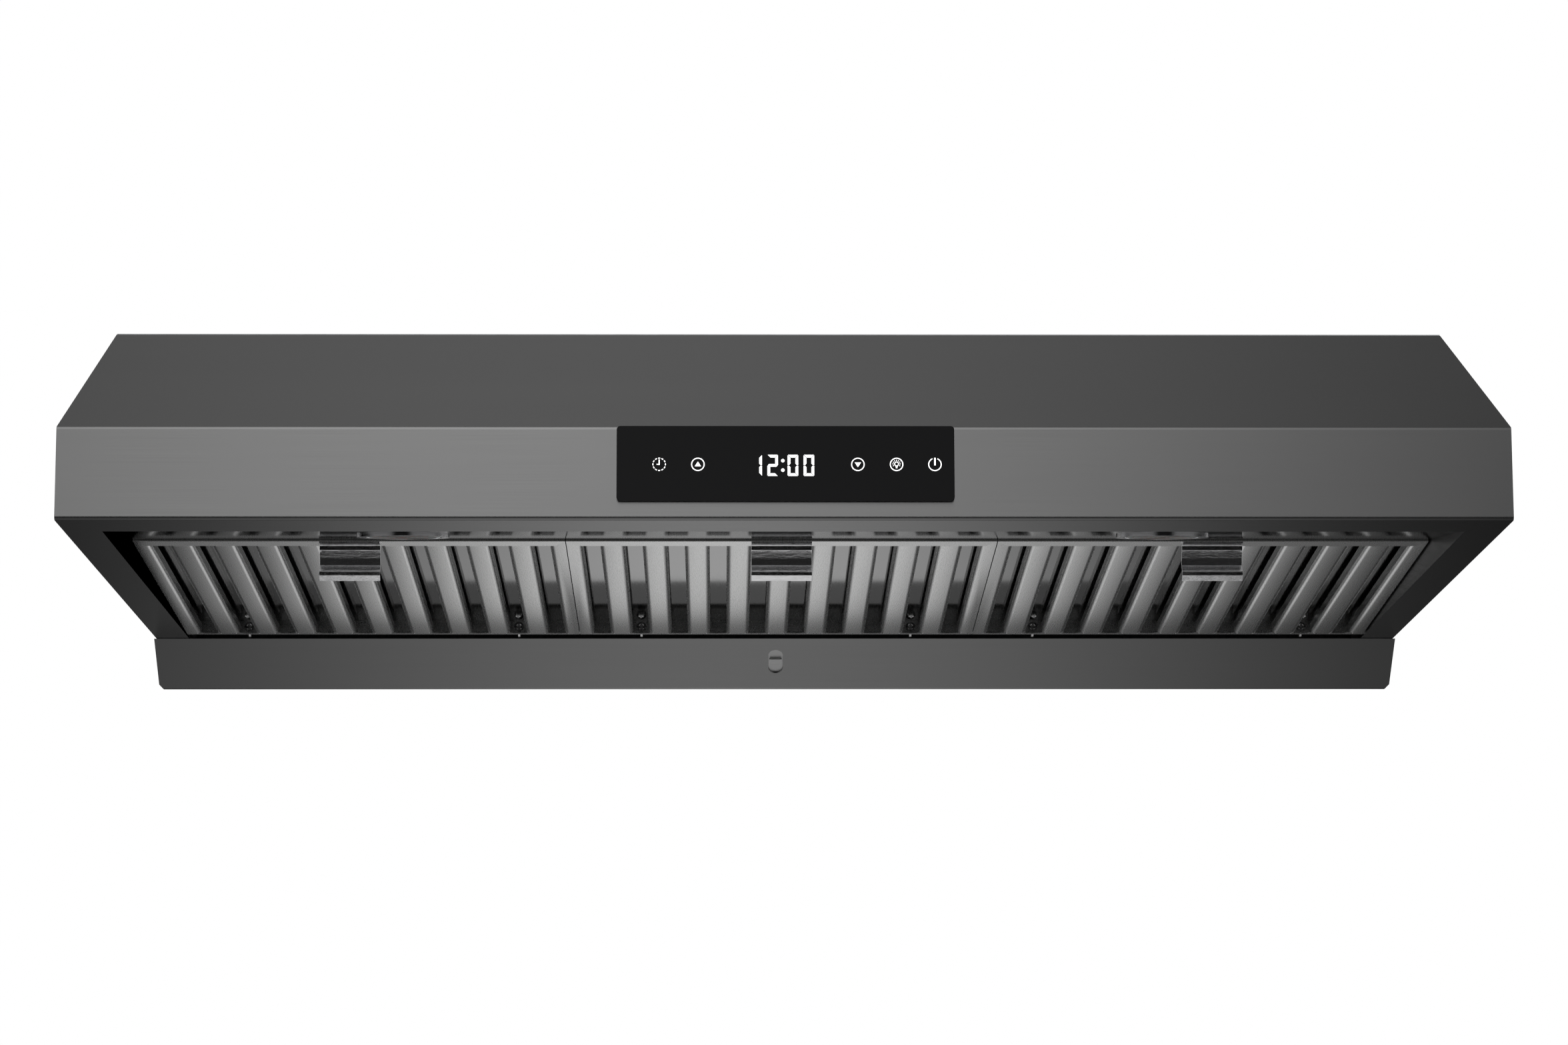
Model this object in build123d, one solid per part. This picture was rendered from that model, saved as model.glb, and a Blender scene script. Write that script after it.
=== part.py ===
from build123d import *

import os
from math import atan2, cos, degrees, hypot, pi, radians, sin

# Under cabinet range hood: a sheet steel canopy over three baffle filters and two blowers.
# Every piece is drawn from the middle of the front bottom edge: X to the right, Y to the back,
# Z up. save() then moves it, so that the origin is the centre of the four cabinet screw holes
# on the top face. All sizes are in millimetres.

# Canopy
WIDTH = 908.0
DEPTH = 559.0
HEIGHT = 175.0
FRONT_HEIGHT = 59.0
SLOPE_RUN = 264.0
SHEET = 1.0
BEND = 2.0
FRONT_LIP = 43.0
SIDE_LIP = 24.0
SIDE_HEM = 24.0
TOP_FLANGE = 20.0
TOP_START = SLOPE_RUN + 2.0

# Fixing to the cabinet
SCREW_SPAN = (800.0, 200.0)
SCREW_CENTRE_Y = 411.5
SCREW_HOLE_R = 3.5
WIRE_HOLE_R = 11.1
WIRE_HOLE = (-375.0, 505.0)

# Filters: each hangs with its front edge high and its rear edge low
FILTERS = ("left", "centre", "right")
FILTER_WIDTH = 285.6
FILTER_PITCH = 286.2
FILTER_LENGTH = 321.0
FILTER_DEPTH = 13.0
FILTER_FRONT = (181.0, 16.6)
FILTER_TILT = 2.97
FILTER_SHEET = 0.8
SLOTS = 10
SLOT_PITCH = 28.1
SLOT_CORNER = 1.0
BAR_FLAT = 10.0
BAR_ROUND = ((6.7, 0.4), (7.7, 1.0), (8.2, 1.9))
BAR_HEIGHT = 7.4
FRONT_RIM = 14.0
REAR_RIM = 9.0
REAR_LIFT = (5.5, 2.6)
CAP_WIDTH = 21.0
CAP_TOP = 12.0
CAP_HEIGHT = 6.0
CAP_BEVEL = 2.2
TIE_WIDTH = 8.0
RIVET_R = 3.6
HINGE_ROD_R = 2.5
HINGE_PLAY = 0.07
HINGE_BEHIND = 4.8
HINGE_HEIGHT = 5.0
EAR_OFFSET = 98.35
EAR_THICK = 1.5
EAR_R = 4.8
HANDLE_WIDTH = 40.3
HANDLE_SHEET = 0.8

# Lamps, in the polished panel between the front lip and the filters
PANEL_END = (177.5, 17.8)
LAMP_X = 246.0
LAMP_Y = 118.0
LAMP_R = 30.0
LAMP_HOLE_R = 27.0

# Glass touch panel
GLASS = (210.4, 47.4, 2.6)
GLASS_BOTTOM = 11.6
GLASS_CORNER = 2.3
TAPE = 0.4
KEY_WINDOW = (190.0, 36.0)

# Grease tray
TRAY_FRONT = 513.0
TRAY_TOP = -0.4
TRAY_FOOT = (548.0, -29.6)
TRAY_BOTTOM = -32.0
TRAY_BACK = 557.4
TRAY_OVERHANG = 1.5
TRAY_RIM = 14.0
LATCH_SIZE = (10.7, 23.0)
LATCH_PLATE = (1.2, 1.45)
LATCH_RIDGE = (5.4, 0.35)

# Air path
BLOWER_X = 225.0
BLOWER_Y = 400.0
DECK_Z = 49.0
SCROLL_HEIGHT = 78.0
SCROLL_START_R = 100.0
SCROLL_END_R = 132.0
SCROLL_TONGUE = 35.0
SCROLL_REACH = 130.0
INLET_R = 70.0
WHEEL_R = 85.0
WHEEL_HEIGHT = 62.0
BLADES = 36
SHAFT_R = 4.0
SHAFT_PLAY = 0.05
MOTOR_R = 48.0
MOTOR_HEIGHT = 40.0
DUCT_R = 75.0
DUCT_Y = 450.0
DUCT_TOP = 197.0
DUCT_BOTTOM = 150.0
DUCT_FLANGE_R = 87.0
DUCT_JOGGLE = 0.6
DAMPER_Z = 165.0
DAMPER_PIN_R = 2.5
DAMPER_PLAY = 0.08
KNOCKOUT = (254.0, 83.0)
KNOCKOUT_Z = 112.0

# Wiring box: lowest and highest X and Y, and its floor
JUNCTION = (-430.0, -335.0, 462.0, 550.0, 134.0)

HALF = WIDTH / 2
HEM_X = HALF - SIDE_LIP


def save(node, shape):
    """Move a piece to the cabinet screw pattern's frame and write its STEP file."""
    placed = Pos(0, -SCREW_CENTRE_Y, -HEIGHT) * shape
    export_step(placed, f"parts/{node}.step")


def block(x0, x1, y0, y1, z0, z1):
    """A box given by its lowest and highest corner."""
    return Pos((x0 + x1) / 2, (y0 + y1) / 2, (z0 + z1) / 2) * Box(x1 - x0, y1 - y0, z1 - z0)


def prism(outline, x0, x1):
    """A closed outline of (Y, Z) points, pulled along X."""
    face = Plane.YZ * make_face(Polyline(*outline, close=True).edges())
    return Pos(x0, 0, 0) * extrude(face, x1 - x0, dir=(1, 0, 0))


def bent_strip(path, bends, thickness, width):
    """A bent sheet, centred on X = 0, whose middle line passes through (Y, Z) points."""
    line = FilletPolyline(*path, radius=bends)
    face = Plane.YZ * trace(line, thickness)
    return extrude(face, width / 2, both=True)


def round_bar(radius, length, at, turn=(0, 0, 0)):
    """A cylinder centred at a point; turn takes its axis off Z."""
    return Pos(*at) * Rot(*turn) * Cylinder(radius, length)


def ring(outer, inner, height):
    """A short tube standing on Z = 0."""
    return extrude(Circle(outer) - Circle(inner), height)


def screw(at, turn=(0, 0, 0), head_r=3.8, shank_r=1.9, shank=4.0):
    """A pan head screw: the underside of its head is at the point, its shank along -Z."""
    head = Cylinder(head_r, 2.2, align=(Align.CENTER, Align.CENTER, Align.MIN))
    head = fillet(head.edges().sort_by(Axis.Z)[-1], 1.2)
    shaft = Cylinder(shank_r, shank, align=(Align.CENTER, Align.CENTER, Align.MAX))
    return Pos(*at) * Rot(*turn) * (head + shaft)


def envelope(x0, x1):
    """The canopy's side outline as a solid slice."""
    outline = [(0, 0), (0, FRONT_HEIGHT), (SLOPE_RUN, HEIGHT), (DEPTH, HEIGHT), (DEPTH, 0)]
    return prism(outline, x0, x1)


# ---- Canopy ----------------------------------------------------------------------------

def make_canopy_skin():
    """Front lip, front face, slope and top flange, bent from one sheet."""
    mid = SHEET / 2
    path = [
        (FRONT_LIP, mid),
        (mid, mid),
        (mid, FRONT_HEIGHT - mid),
        (SLOPE_RUN, HEIGHT - SHEET - mid),
        (SLOPE_RUN + TOP_FLANGE, HEIGHT - SHEET - mid),
    ]
    skin = bent_strip(path, BEND, SHEET, WIDTH)
    window_w, window_h = KEY_WINDOW
    middle = GLASS_BOTTOM + GLASS[1] / 2
    window = block(-window_w / 2, window_w / 2, -1, 2, middle - window_h / 2, middle + window_h / 2)
    return skin - window


def make_top_panel(fastener_shapes):
    """The flat top with the duct opening, four screw holes and the wiring hole."""
    panel = block(-HALF, HALF, TOP_START, DEPTH, HEIGHT - SHEET, HEIGHT)
    panel -= round_bar(DUCT_R, 10, (0, DUCT_Y, HEIGHT))
    for x in (-SCREW_SPAN[0] / 2, SCREW_SPAN[0] / 2):
        for y in (-SCREW_SPAN[1] / 2, SCREW_SPAN[1] / 2):
            panel -= round_bar(SCREW_HOLE_R, 10, (x, SCREW_CENTRE_Y + y, HEIGHT))
    panel -= round_bar(WIRE_HOLE_R, 10, (*WIRE_HOLE, HEIGHT))
    return panel - fastener_shapes


def make_back_panel(fastener_shapes):
    """The back sheet, open behind the knock-out cover."""
    panel = block(-HALF, HALF, DEPTH - SHEET, DEPTH, 0, HEIGHT - SHEET)
    w, h = KNOCKOUT
    panel -= block(-w / 2, w / 2, DEPTH - 5, DEPTH + 5, KNOCKOUT_Z - h / 2, KNOCKOUT_Z + h / 2)
    return panel - fastener_shapes


def make_knockout_cover(fastener_shapes):
    """The plate behind the rear duct opening, fitted from inside."""
    w, h = KNOCKOUT[0] / 2 + 12, KNOCKOUT[1] / 2 + 12
    cover = block(-w, w, DEPTH - 2 * SHEET, DEPTH - SHEET, KNOCKOUT_Z - h, KNOCKOUT_Z + h)
    cover = fillet(cover.edges().filter_by(Axis.Y), 4)
    return cover - fastener_shapes


def make_side_panel(side, skin, back):
    """An end sheet with its turned-in lip and the upright hem beside the filters."""
    plate = envelope(HALF - SHEET, HALF) - block(0, WIDTH, 0, DEPTH, HEIGHT - SHEET, HEIGHT)
    plate -= skin
    lip = block(HEM_X, HALF - SHEET, FRONT_LIP, DEPTH - SHEET, 0, SHEET)
    hem = block(HEM_X, HEM_X + SHEET, FRONT_LIP, TRAY_FRONT, SHEET, SIDE_HEM)
    panel = ((plate + lip + hem) - back).solids().sort_by(SortBy.VOLUME)[-1]
    return panel if side > 0 else mirror(panel, Plane.YZ)


def panel_line():
    """Middle line of the polished panel: over the lip, up the slope, up behind the filters."""
    lift = SHEET * 1.5
    return [
        (FRONT_LIP - 12, lift),
        (FRONT_LIP + 1, lift),
        PANEL_END,
        (PANEL_END[0], PANEL_END[1] + 16),
    ]


def lamp_place(side):
    """Where a lamp sits: on the lower face of the polished panel, square to it."""
    start, end = panel_line()[1], panel_line()[2]
    slope = atan2(end[1] - start[1], end[0] - start[0])
    z = start[1] + (LAMP_Y - start[0]) * (end[1] - start[1]) / (end[0] - start[0])
    z -= SHEET / 2 / cos(slope)
    return Pos(side * LAMP_X, LAMP_Y, z) * Rot(degrees(slope), 0, 0)


def make_inner_front_panel():
    """The polished panel between the front lip and the filters, with two lamp holes."""
    panel = bent_strip(panel_line(), 1.0, SHEET, 2 * HEM_X - 0.4)
    for side in (-1, 1):
        panel -= lamp_place(side) * Cylinder(LAMP_HOLE_R, 12)
    return panel


def make_filter_catches():
    """Spring strips behind the polished panel that the filters' front walls snap against."""
    catches = []
    y, z = PANEL_END[0] + SHEET / 2, PANEL_END[1] + 3
    for x in (-FILTER_PITCH, 0, FILTER_PITCH):
        path = [(y + 0.3, z), (y + 1.9, z + 5), (y + 0.3, z + 11)]
        catches.append(Pos(x, 0, 0) * bent_strip(path, 2.0, 0.5, 30))
    return Compound(children=catches)


# ---- Lamps -----------------------------------------------------------------------------

def make_lamp_bezel(side):
    """A flanged ring whose collar passes up through the panel."""
    flange = Pos(0, 0, -1.4) * ring(LAMP_R, LAMP_R - 5.5, 1.4)
    flange = fillet(flange.edges().filter_by(GeomType.CIRCLE).group_by(Axis.Z)[0][-1], 0.8)
    collar = ring(LAMP_HOLE_R, LAMP_HOLE_R - 1.5, 10)
    return lamp_place(side) * (flange + collar)


def make_lamp_lens(side):
    """A frosted disc, slightly domed, inside the bezel's collar."""
    disc = Pos(0, 0, -1.0) * Cylinder(LAMP_R - 5.5, 2.5, align=(Align.CENTER, Align.CENTER, Align.MIN))
    return lamp_place(side) * fillet(disc.edges().sort_by(Axis.Z)[0], 0.8)


def make_lamp_board(side):
    """The round board that carries the lamp's nine diodes."""
    board = Pos(0, 0, 6.5) * Cylinder(LAMP_HOLE_R - 1.5, 1.6, align=(Align.CENTER, Align.CENTER, Align.MIN))
    diode = Pos(0, 0, 5.7) * Box(3, 3, 0.8, align=(Align.CENTER, Align.CENTER, Align.MIN))
    ring_of_diodes = [Rot(0, 0, i * 45) * Pos(15, 0, 0) * diode for i in range(8)]
    return lamp_place(side) * (board + diode + ring_of_diodes)


def make_lamp_can(side):
    """The cast can behind the lamp, with cooling fins."""
    can = Pos(0, 0, 10) * Cylinder(LAMP_HOLE_R, 6, align=(Align.CENTER, Align.CENTER, Align.MIN))
    fins = [Pos(x, 0, 16) * Box(1.6, 40, 8, align=(Align.CENTER, Align.CENTER, Align.MIN))
            for x in range(-12, 13, 4)]
    return lamp_place(side) * (can + fins)


# ---- Touch panel -----------------------------------------------------------------------

def make_control_glass():
    """A glass plate standing on its tape; its upper edge is level with the front's bend."""
    w, h, t = GLASS
    face = RectangleRounded(w, h, GLASS_CORNER)
    plate = Plane.XZ * extrude(face, t)
    return Pos(0, -TAPE, GLASS_BOTTOM + h / 2) * plate


def make_control_tape():
    """The black tape frame between the glass and the front face."""
    w, h, _ = GLASS
    face = RectangleRounded(w - 3, h - 3, 1.5) - Rectangle(*KEY_WINDOW)
    frame = Plane.XZ * extrude(face, TAPE)
    return Pos(0, 0, GLASS_BOTTOM + h / 2) * frame


def control_middle():
    return GLASS_BOTTOM + GLASS[1] / 2


def make_control_housing():
    """A moulded tray behind the front face that closes the back of the touch panel."""
    w, h = KEY_WINDOW[0] + 8, KEY_WINDOW[1] + 5
    z = control_middle() - 1
    tray = block(-w / 2, w / 2, SHEET, 26, z - h / 2, z + h / 2)
    tray -= block(-w / 2 + 2, w / 2 - 2, 0, 24, z - h / 2 + 2, z + h / 2 - 2)
    return tray


def make_touch_board():
    """The circuit board with a sensor pad behind each of the five keys."""
    w, h = KEY_WINDOW[0] + 4, KEY_WINDOW[1] + 1
    z = control_middle() - 1
    board = block(-w / 2, w / 2, 6, 7.6, z - h / 2, z + h / 2)
    pads = [Pos(x, 6, z) * Rot(90, 0, 0) * Cylinder(6, 6.0, align=(Align.CENTER, Align.CENTER, Align.MIN))
            for x in (-78.7, -54.6, 45.0, 69.1, 93.0 - 4)]
    return board + pads


def make_clock_display():
    """The four-digit display block between the board and the glass."""
    z = control_middle()
    return block(-22, 22, 0, 6, z - 10, z + 10)


# ---- Filters ---------------------------------------------------------------------------

def filter_place(index):
    """Where a filter hangs: its front lower edge, with its slope to the back."""
    x = (index - 1) * FILTER_PITCH
    return Pos(x, *FILTER_FRONT) * Rot(-FILTER_TILT, 0, 0)


def slot_centres():
    """The slots' places across a filter."""
    return [(i - (SLOTS - 1) / 2) * SLOT_PITCH for i in range(SLOTS)]


def bar_centres():
    """The bars' places between the slots."""
    return [(i - (SLOTS - 2) / 2) * SLOT_PITCH for i in range(SLOTS - 1)]


def bar_side(side):
    """One folded edge of a bar: rounded off the flat face, then an upright."""
    t, flat = FILTER_SHEET, BAR_FLAT / 2
    edge = BAR_ROUND[-1][0]
    outline = [(flat - t, 0), (flat, 0), *BAR_ROUND, (edge, BAR_HEIGHT), (edge - t, BAR_HEIGHT)]
    outline += [(x - t * 0.6, z + t * 0.8) for x, z in reversed(BAR_ROUND)]
    outline.append((flat - t, t))
    if side < 0:
        outline = [(-x, z) for x, z in reversed(outline)]
    return outline


def rear_lift():
    """Two outlines at the filter's rear edge: the corner that is cut off, and its sheet."""
    run, rise = REAR_LIFT
    start, end, t = FILTER_LENGTH - run, FILTER_LENGTH, FILTER_SHEET
    corner = [(start, 0), (end, rise), (end + 1, rise), (end + 1, -1), (start, -1)]
    strip = [(start - 0.4, 0), (start, 0), (end, rise), (end, rise + t), (start - 0.4, t)]
    return corner, strip


def make_filter_frame(index):
    """The pressed lower sheet with ten slots, its rim walls and its two rear ears."""
    t, w, n = FILTER_SHEET, FILTER_WIDTH, FILTER_LENGTH
    slot_width = SLOT_PITCH - BAR_FLAT
    slot_length = n - FRONT_RIM - REAR_RIM
    sheet = Pos(0, n / 2, 0) * extrude(Rectangle(w, n), t)
    cut = extrude(RectangleRounded(slot_width, slot_length, SLOT_CORNER), 3 * t)
    sheet -= [Pos(x, FRONT_RIM + slot_length / 2, -t) * cut for x in slot_centres()]
    folds = []
    sides = [(x, side) for x in bar_centres() for side in (-1, 1)]
    edge = SLOTS / 2 * SLOT_PITCH
    sides += [(-edge, 1), (edge, -1)]
    for x, side in sides:
        face = Plane.XZ * make_face(Polyline(*bar_side(side), close=True).edges())
        folds.append(Pos(x, FRONT_RIM, 0) * extrude(face, slot_length, dir=(0, 1, 0)))
    walls = extrude(Rectangle(w, n) - Rectangle(w - 2 * t, n - 2 * t), FILTER_DEPTH)
    corner, strip = rear_lift()
    frame = sheet + folds + Pos(0, n / 2, 0) * walls
    frame = frame - prism(corner, -w, w) + prism(strip, -w / 2, w / 2)
    ears = [Pos(x, 0, 0) * filter_ear() for x in (-EAR_OFFSET, EAR_OFFSET)]
    return filter_place(index) * (frame + ears)


def filter_ear():
    """A rear ear with the bore that turns on the hinge rod."""
    reach = FILTER_LENGTH + HINGE_BEHIND
    low, high = HINGE_HEIGHT - EAR_R, HINGE_HEIGHT + EAR_R
    root = [(FILTER_LENGTH - 0.2, REAR_LIFT[1] + 0.4), (reach, low), (reach, high), (FILTER_LENGTH - 0.2, high)]
    plate = prism(root, -EAR_THICK / 2, EAR_THICK / 2)
    boss = round_bar(EAR_R, EAR_THICK, (0, reach, HINGE_HEIGHT), (0, 90, 0))
    bore = round_bar(HINGE_ROD_R + HINGE_PLAY, EAR_THICK * 3, (0, reach, HINGE_HEIGHT), (0, 90, 0))
    return plate + boss - bore


def make_filter_baffles(index):
    """The upper row: ten channels, open downwards, over the slots of the lower sheet."""
    t = FILTER_SHEET
    length = FILTER_LENGTH - 2 * FILTER_SHEET
    half, top, foot, bevel = CAP_WIDTH / 2, CAP_TOP, CAP_TOP - CAP_HEIGHT, CAP_BEVEL
    outline = [
        (-half, foot), (-half, top - bevel), (-half + bevel, top), (half - bevel, top),
        (half, top - bevel), (half, foot), (half - t, foot), (half - t, top - bevel - 0.4),
        (half - bevel - 0.3, top - t), (-half + bevel + 0.3, top - t),
        (-half + t, top - bevel - 0.4), (-half + t, foot),
    ]
    face = Plane.XZ * make_face(Polyline(*outline, close=True).edges())
    cap = Pos(0, FILTER_SHEET, 0) * extrude(face, length, dir=(0, 1, 0))
    caps = [Pos(x, 0, 0) * cap for x in slot_centres()]
    ties = [
        block(-FILTER_WIDTH / 2 + t, FILTER_WIDTH / 2 - t, y, y + TIE_WIDTH, top, top + t)
        for y in tie_places()
    ]
    return filter_place(index) * (Part() + caps + ties)


def tie_places():
    """Where the two strips that tie the upper channels start."""
    return FRONT_RIM, FILTER_LENGTH - REAR_RIM - 1.5 * TIE_WIDTH


def rivet_head(radius):
    """A low domed head with a dimple, standing on Z = 0."""
    head = Cylinder(radius, 1.0, align=(Align.CENTER, Align.CENTER, Align.MIN))
    head = fillet(head.edges().sort_by(Axis.Z)[-1], 0.6)
    dimple = Pos(0, 0, 0.5) * Cylinder(radius / 3, 1.0, align=(Align.CENTER, Align.CENTER, Align.MIN))
    return head - dimple


def make_filter_rivets(index):
    """Rivets through the tie strips, and two on the rear wall that hold the ears."""
    rivets = []
    for x in (slot_centres()[1], slot_centres()[-2]):
        for y in tie_places():
            place = Pos(x, y + TIE_WIDTH / 2, CAP_TOP - FILTER_SHEET)
            rivets.append(place * Rot(180, 0, 0) * rivet_head(RIVET_R * 0.7))
        wall = Pos(x, FILTER_LENGTH - FILTER_SHEET, CAP_TOP - 5.4)
        rivets.append(wall * Rot(90, 0, 0) * rivet_head(RIVET_R))
    return filter_place(index) * Compound(children=rivets)


def make_filter_handle(index):
    """The pull: a tab under the front rim, a leaning finger panel and a lip folded back."""
    t = HANDLE_SHEET
    path = [
        (2.0, -t / 2), (9.0, -t / 2), (9.2, -3.7), (10.6, -4.7), (12.9, -9.0),
        (14.1, -13.2), (9.9, -18.4), (9.9, -20.6), (13.6, -23.6),
    ]
    tab = bent_strip(path, [1.1, 0.7, 0.7, 8.0, 0.9, 2.0, 0.8], t, HANDLE_WIDTH)
    return filter_place(index) * tab


def make_hinge_rod():
    """The rod along the back that the filters' ears turn on."""
    y, z = hinge_line()
    return round_bar(HINGE_ROD_R, 2 * HEM_X, (0, y, z), (0, 90, 0))


def hinge_line():
    """The hinge rod's place: (Y, Z)."""
    a = radians(FILTER_TILT)
    back, up = FILTER_LENGTH + HINGE_BEHIND, HINGE_HEIGHT
    y = FILTER_FRONT[0] + back * cos(a) + up * sin(a)
    z = FILTER_FRONT[1] - back * sin(a) + up * cos(a)
    return y, z


# ---- Grease tray -----------------------------------------------------------------------

def tray_slope():
    """Length and angle of the tray's sloping front."""
    run = TRAY_FOOT[0] - TRAY_FRONT
    drop = TRAY_TOP - TRAY_FOOT[1]
    return hypot(run, drop), degrees(atan2(drop, run))


def latch_place():
    """The middle of the tray's sloping front, with Z square to it and Y down the slope."""
    y = (TRAY_FRONT + TRAY_FOOT[0]) / 2
    z = (TRAY_TOP + TRAY_FOOT[1]) / 2
    return Pos(0, y, z) * Rot(-tray_slope()[1], 0, 0)


def make_grease_tray():
    """A trough across the back: sloping front, narrow bottom, upright back, closed ends."""
    t = SHEET
    width = WIDTH + 2 * TRAY_OVERHANG
    outer = [
        (TRAY_FRONT, TRAY_TOP), TRAY_FOOT, (TRAY_FOOT[0] + 3, TRAY_BOTTOM),
        (TRAY_BACK, TRAY_BOTTOM), (TRAY_BACK, TRAY_TOP),
    ]
    inner = [
        (TRAY_FRONT + 1.6, TRAY_TOP + 1), (TRAY_FRONT + 1.6, TRAY_TOP), (TRAY_FOOT[0] + 0.6, TRAY_FOOT[1] + 1.2),
        (TRAY_FOOT[0] + 3.4, TRAY_BOTTOM + t), (TRAY_BACK - t, TRAY_BOTTOM + t), (TRAY_BACK - t, TRAY_TOP + 1),
    ]
    shell = prism(outer, -width / 2, width / 2)
    shell = chamfer(shell.edges().filter_by(Axis.Y).group_by(Axis.Z)[0], 2.4)
    tray = shell - prism(inner, -width / 2 + t, width / 2 - t)
    rim = block(1 - HEM_X, HEM_X - 1, TRAY_BACK - t, TRAY_BACK, TRAY_TOP, TRAY_RIM)
    w, h = LATCH_SIZE
    slot = extrude(SlotOverall(h, w), 6, both=True)
    return tray + rim - latch_place() * Rot(0, 0, 90) * slot


def make_tray_latch():
    """The slide behind the tray's slot: a plate that fills the view, with a thumb ridge."""
    w, h = LATCH_SIZE
    t, depth = LATCH_PLATE
    plate = Pos(0, 0, depth) * extrude(RectangleRounded(h + 8, w + 8, 2), t)
    ridge = Pos(0, 0, -LATCH_RIDGE[1]) * extrude(RectangleRounded(LATCH_RIDGE[0], w - 1.6, 1), depth + LATCH_RIDGE[1])
    return latch_place() * Rot(0, 0, 90) * (plate + fillet(ridge.faces().sort_by(Axis.Z)[0].edges(), 0.5))


# ---- Blowers ---------------------------------------------------------------------------

def blower_centre(side):
    return Pos(side * BLOWER_X, BLOWER_Y, 0)


def scroll_outline(inset):
    """The scroll seen from above, outlet towards +X: a spiral, then straight walls."""
    turn = 270 + SCROLL_TONGUE
    grow = (SCROLL_END_R - SCROLL_START_R) / turn
    points = []
    for step in range(13):
        angle = turn * step / 12
        r = SCROLL_START_R + grow * angle - inset
        phi = radians(SCROLL_TONGUE - angle)
        points.append((r * cos(phi), r * sin(phi)))
    spiral = Spline(*points)
    outlet = SCROLL_REACH
    straight = Polyline(points[-1], (outlet, points[-1][1]), (outlet, points[0][1]), points[0])
    return make_face(spiral.edges() + straight.edges())


def make_blower_housing(side):
    """A hollow scroll on the deck: inlet below, motor opening above, outlet to the middle."""
    z, t = DECK_Z + SHEET, SHEET
    shell = extrude(scroll_outline(0), SCROLL_HEIGHT)
    hollow = Pos(0, 0, t) * extrude(scroll_outline(t), SCROLL_HEIGHT - 2 * t)
    low, high = SCROLL_START_R * sin(radians(SCROLL_TONGUE)) + t, SCROLL_END_R - t
    mouth = block(SCROLL_REACH - 30, SCROLL_REACH + 5, low, high, t, SCROLL_HEIGHT - t)
    inlet = Cylinder(INLET_R + 8, 6)
    shaft_hole = round_bar(16, 6, (0, 0, SCROLL_HEIGHT))
    housing = shell - hollow - mouth - inlet - shaft_hole
    if side > 0:
        housing = mirror(housing, Plane.YZ)
    return blower_centre(side) * Pos(0, 0, z) * housing


def make_blower_inlet(side):
    """The bell-mouthed ring that leads air into the wheel."""
    line = FilletPolyline((INLET_R + 13, 0.4), (INLET_R, 0.4), (INLET_R, 9), radius=5)
    section = Plane.XZ * trace(line, 0.8)
    bell = revolve(section, Axis.Z, 360)
    return blower_centre(side) * Pos(0, 0, DECK_Z - 0.9) * bell


def make_blower_wheel(side):
    """A squirrel-cage wheel: back plate, hub, curved-in blades and a lower ring."""
    plate = Pos(0, 0, WHEEL_HEIGHT - 1.2) * ring(WHEEL_R, SHAFT_R, 1.2)
    hub = Pos(0, 0, WHEEL_HEIGHT - 18) * ring(11, SHAFT_R, 18)
    foot = ring(WHEEL_R, WHEEL_R - 9, 2.0)
    blade = block(-4.6, 4.6, -0.5, 0.5, 1, WHEEL_HEIGHT - 0.5)
    blades = [Rot(0, 0, i * 360 / BLADES) * Pos(WHEEL_R - 5.5, 0, 0) * Rot(0, 0, 28 * side) * blade
              for i in range(BLADES)]
    wheel = plate + hub + foot + blades
    return blower_centre(side) * Pos(0, 0, wheel_base()) * wheel


def wheel_base():
    return DECK_Z + SHEET + 10.5


def motor_base():
    return DECK_Z + SHEET + SCROLL_HEIGHT


def make_motor_shaft(side):
    """The shaft, fixed in the wheel's hub and running in the motor."""
    bottom, top = wheel_base() + WHEEL_HEIGHT - 20, motor_base() + MOTOR_HEIGHT - 6
    shaft = round_bar(SHAFT_R, top - bottom, (0, 0, (top + bottom) / 2))
    return blower_centre(side) * shaft


def make_motor(side):
    """The motor can on its round mounting plate, with a blind running bore for the shaft."""
    z = motor_base()
    can = Cylinder(MOTOR_R, MOTOR_HEIGHT, align=(Align.CENTER, Align.CENTER, Align.MIN))
    can = fillet(can.edges().sort_by(Axis.Z)[-1], 6)
    plate = extrude(Circle(MOTOR_R + 14), 2)
    bore = Cylinder(SHAFT_R + SHAFT_PLAY, 2 * (MOTOR_HEIGHT - 5))
    feet = [Rot(0, 0, 60 + i * 120) * Pos(MOTOR_R + 8, 0, 0) * Cylinder(1.9, 20) for i in range(3)]
    body = (can + plate) - bore - feet
    return blower_centre(side) * Pos(0, 0, z) * body


def motor_screws(side):
    """Three screws that hold the motor's plate to the scroll."""
    z = motor_base() + 2
    screws = [Rot(0, 0, 60 + i * 120) * screw((MOTOR_R + 8, 0, 0), shank=2.0) for i in range(3)]
    return [blower_centre(side) * Pos(0, 0, z) * s for s in screws]


def make_deck():
    """The shelf across the canopy that carries the scrolls and closes the intake space."""
    deck = block(-HALF + SHEET, HALF - SHEET, 200, DEPTH - SHEET, DECK_Z, DECK_Z + SHEET)
    for side in (-1, 1):
        deck -= blower_centre(side) * Pos(0, 0, DECK_Z) * Cylinder(INLET_R + 6.5, 6)
    return deck


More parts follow.
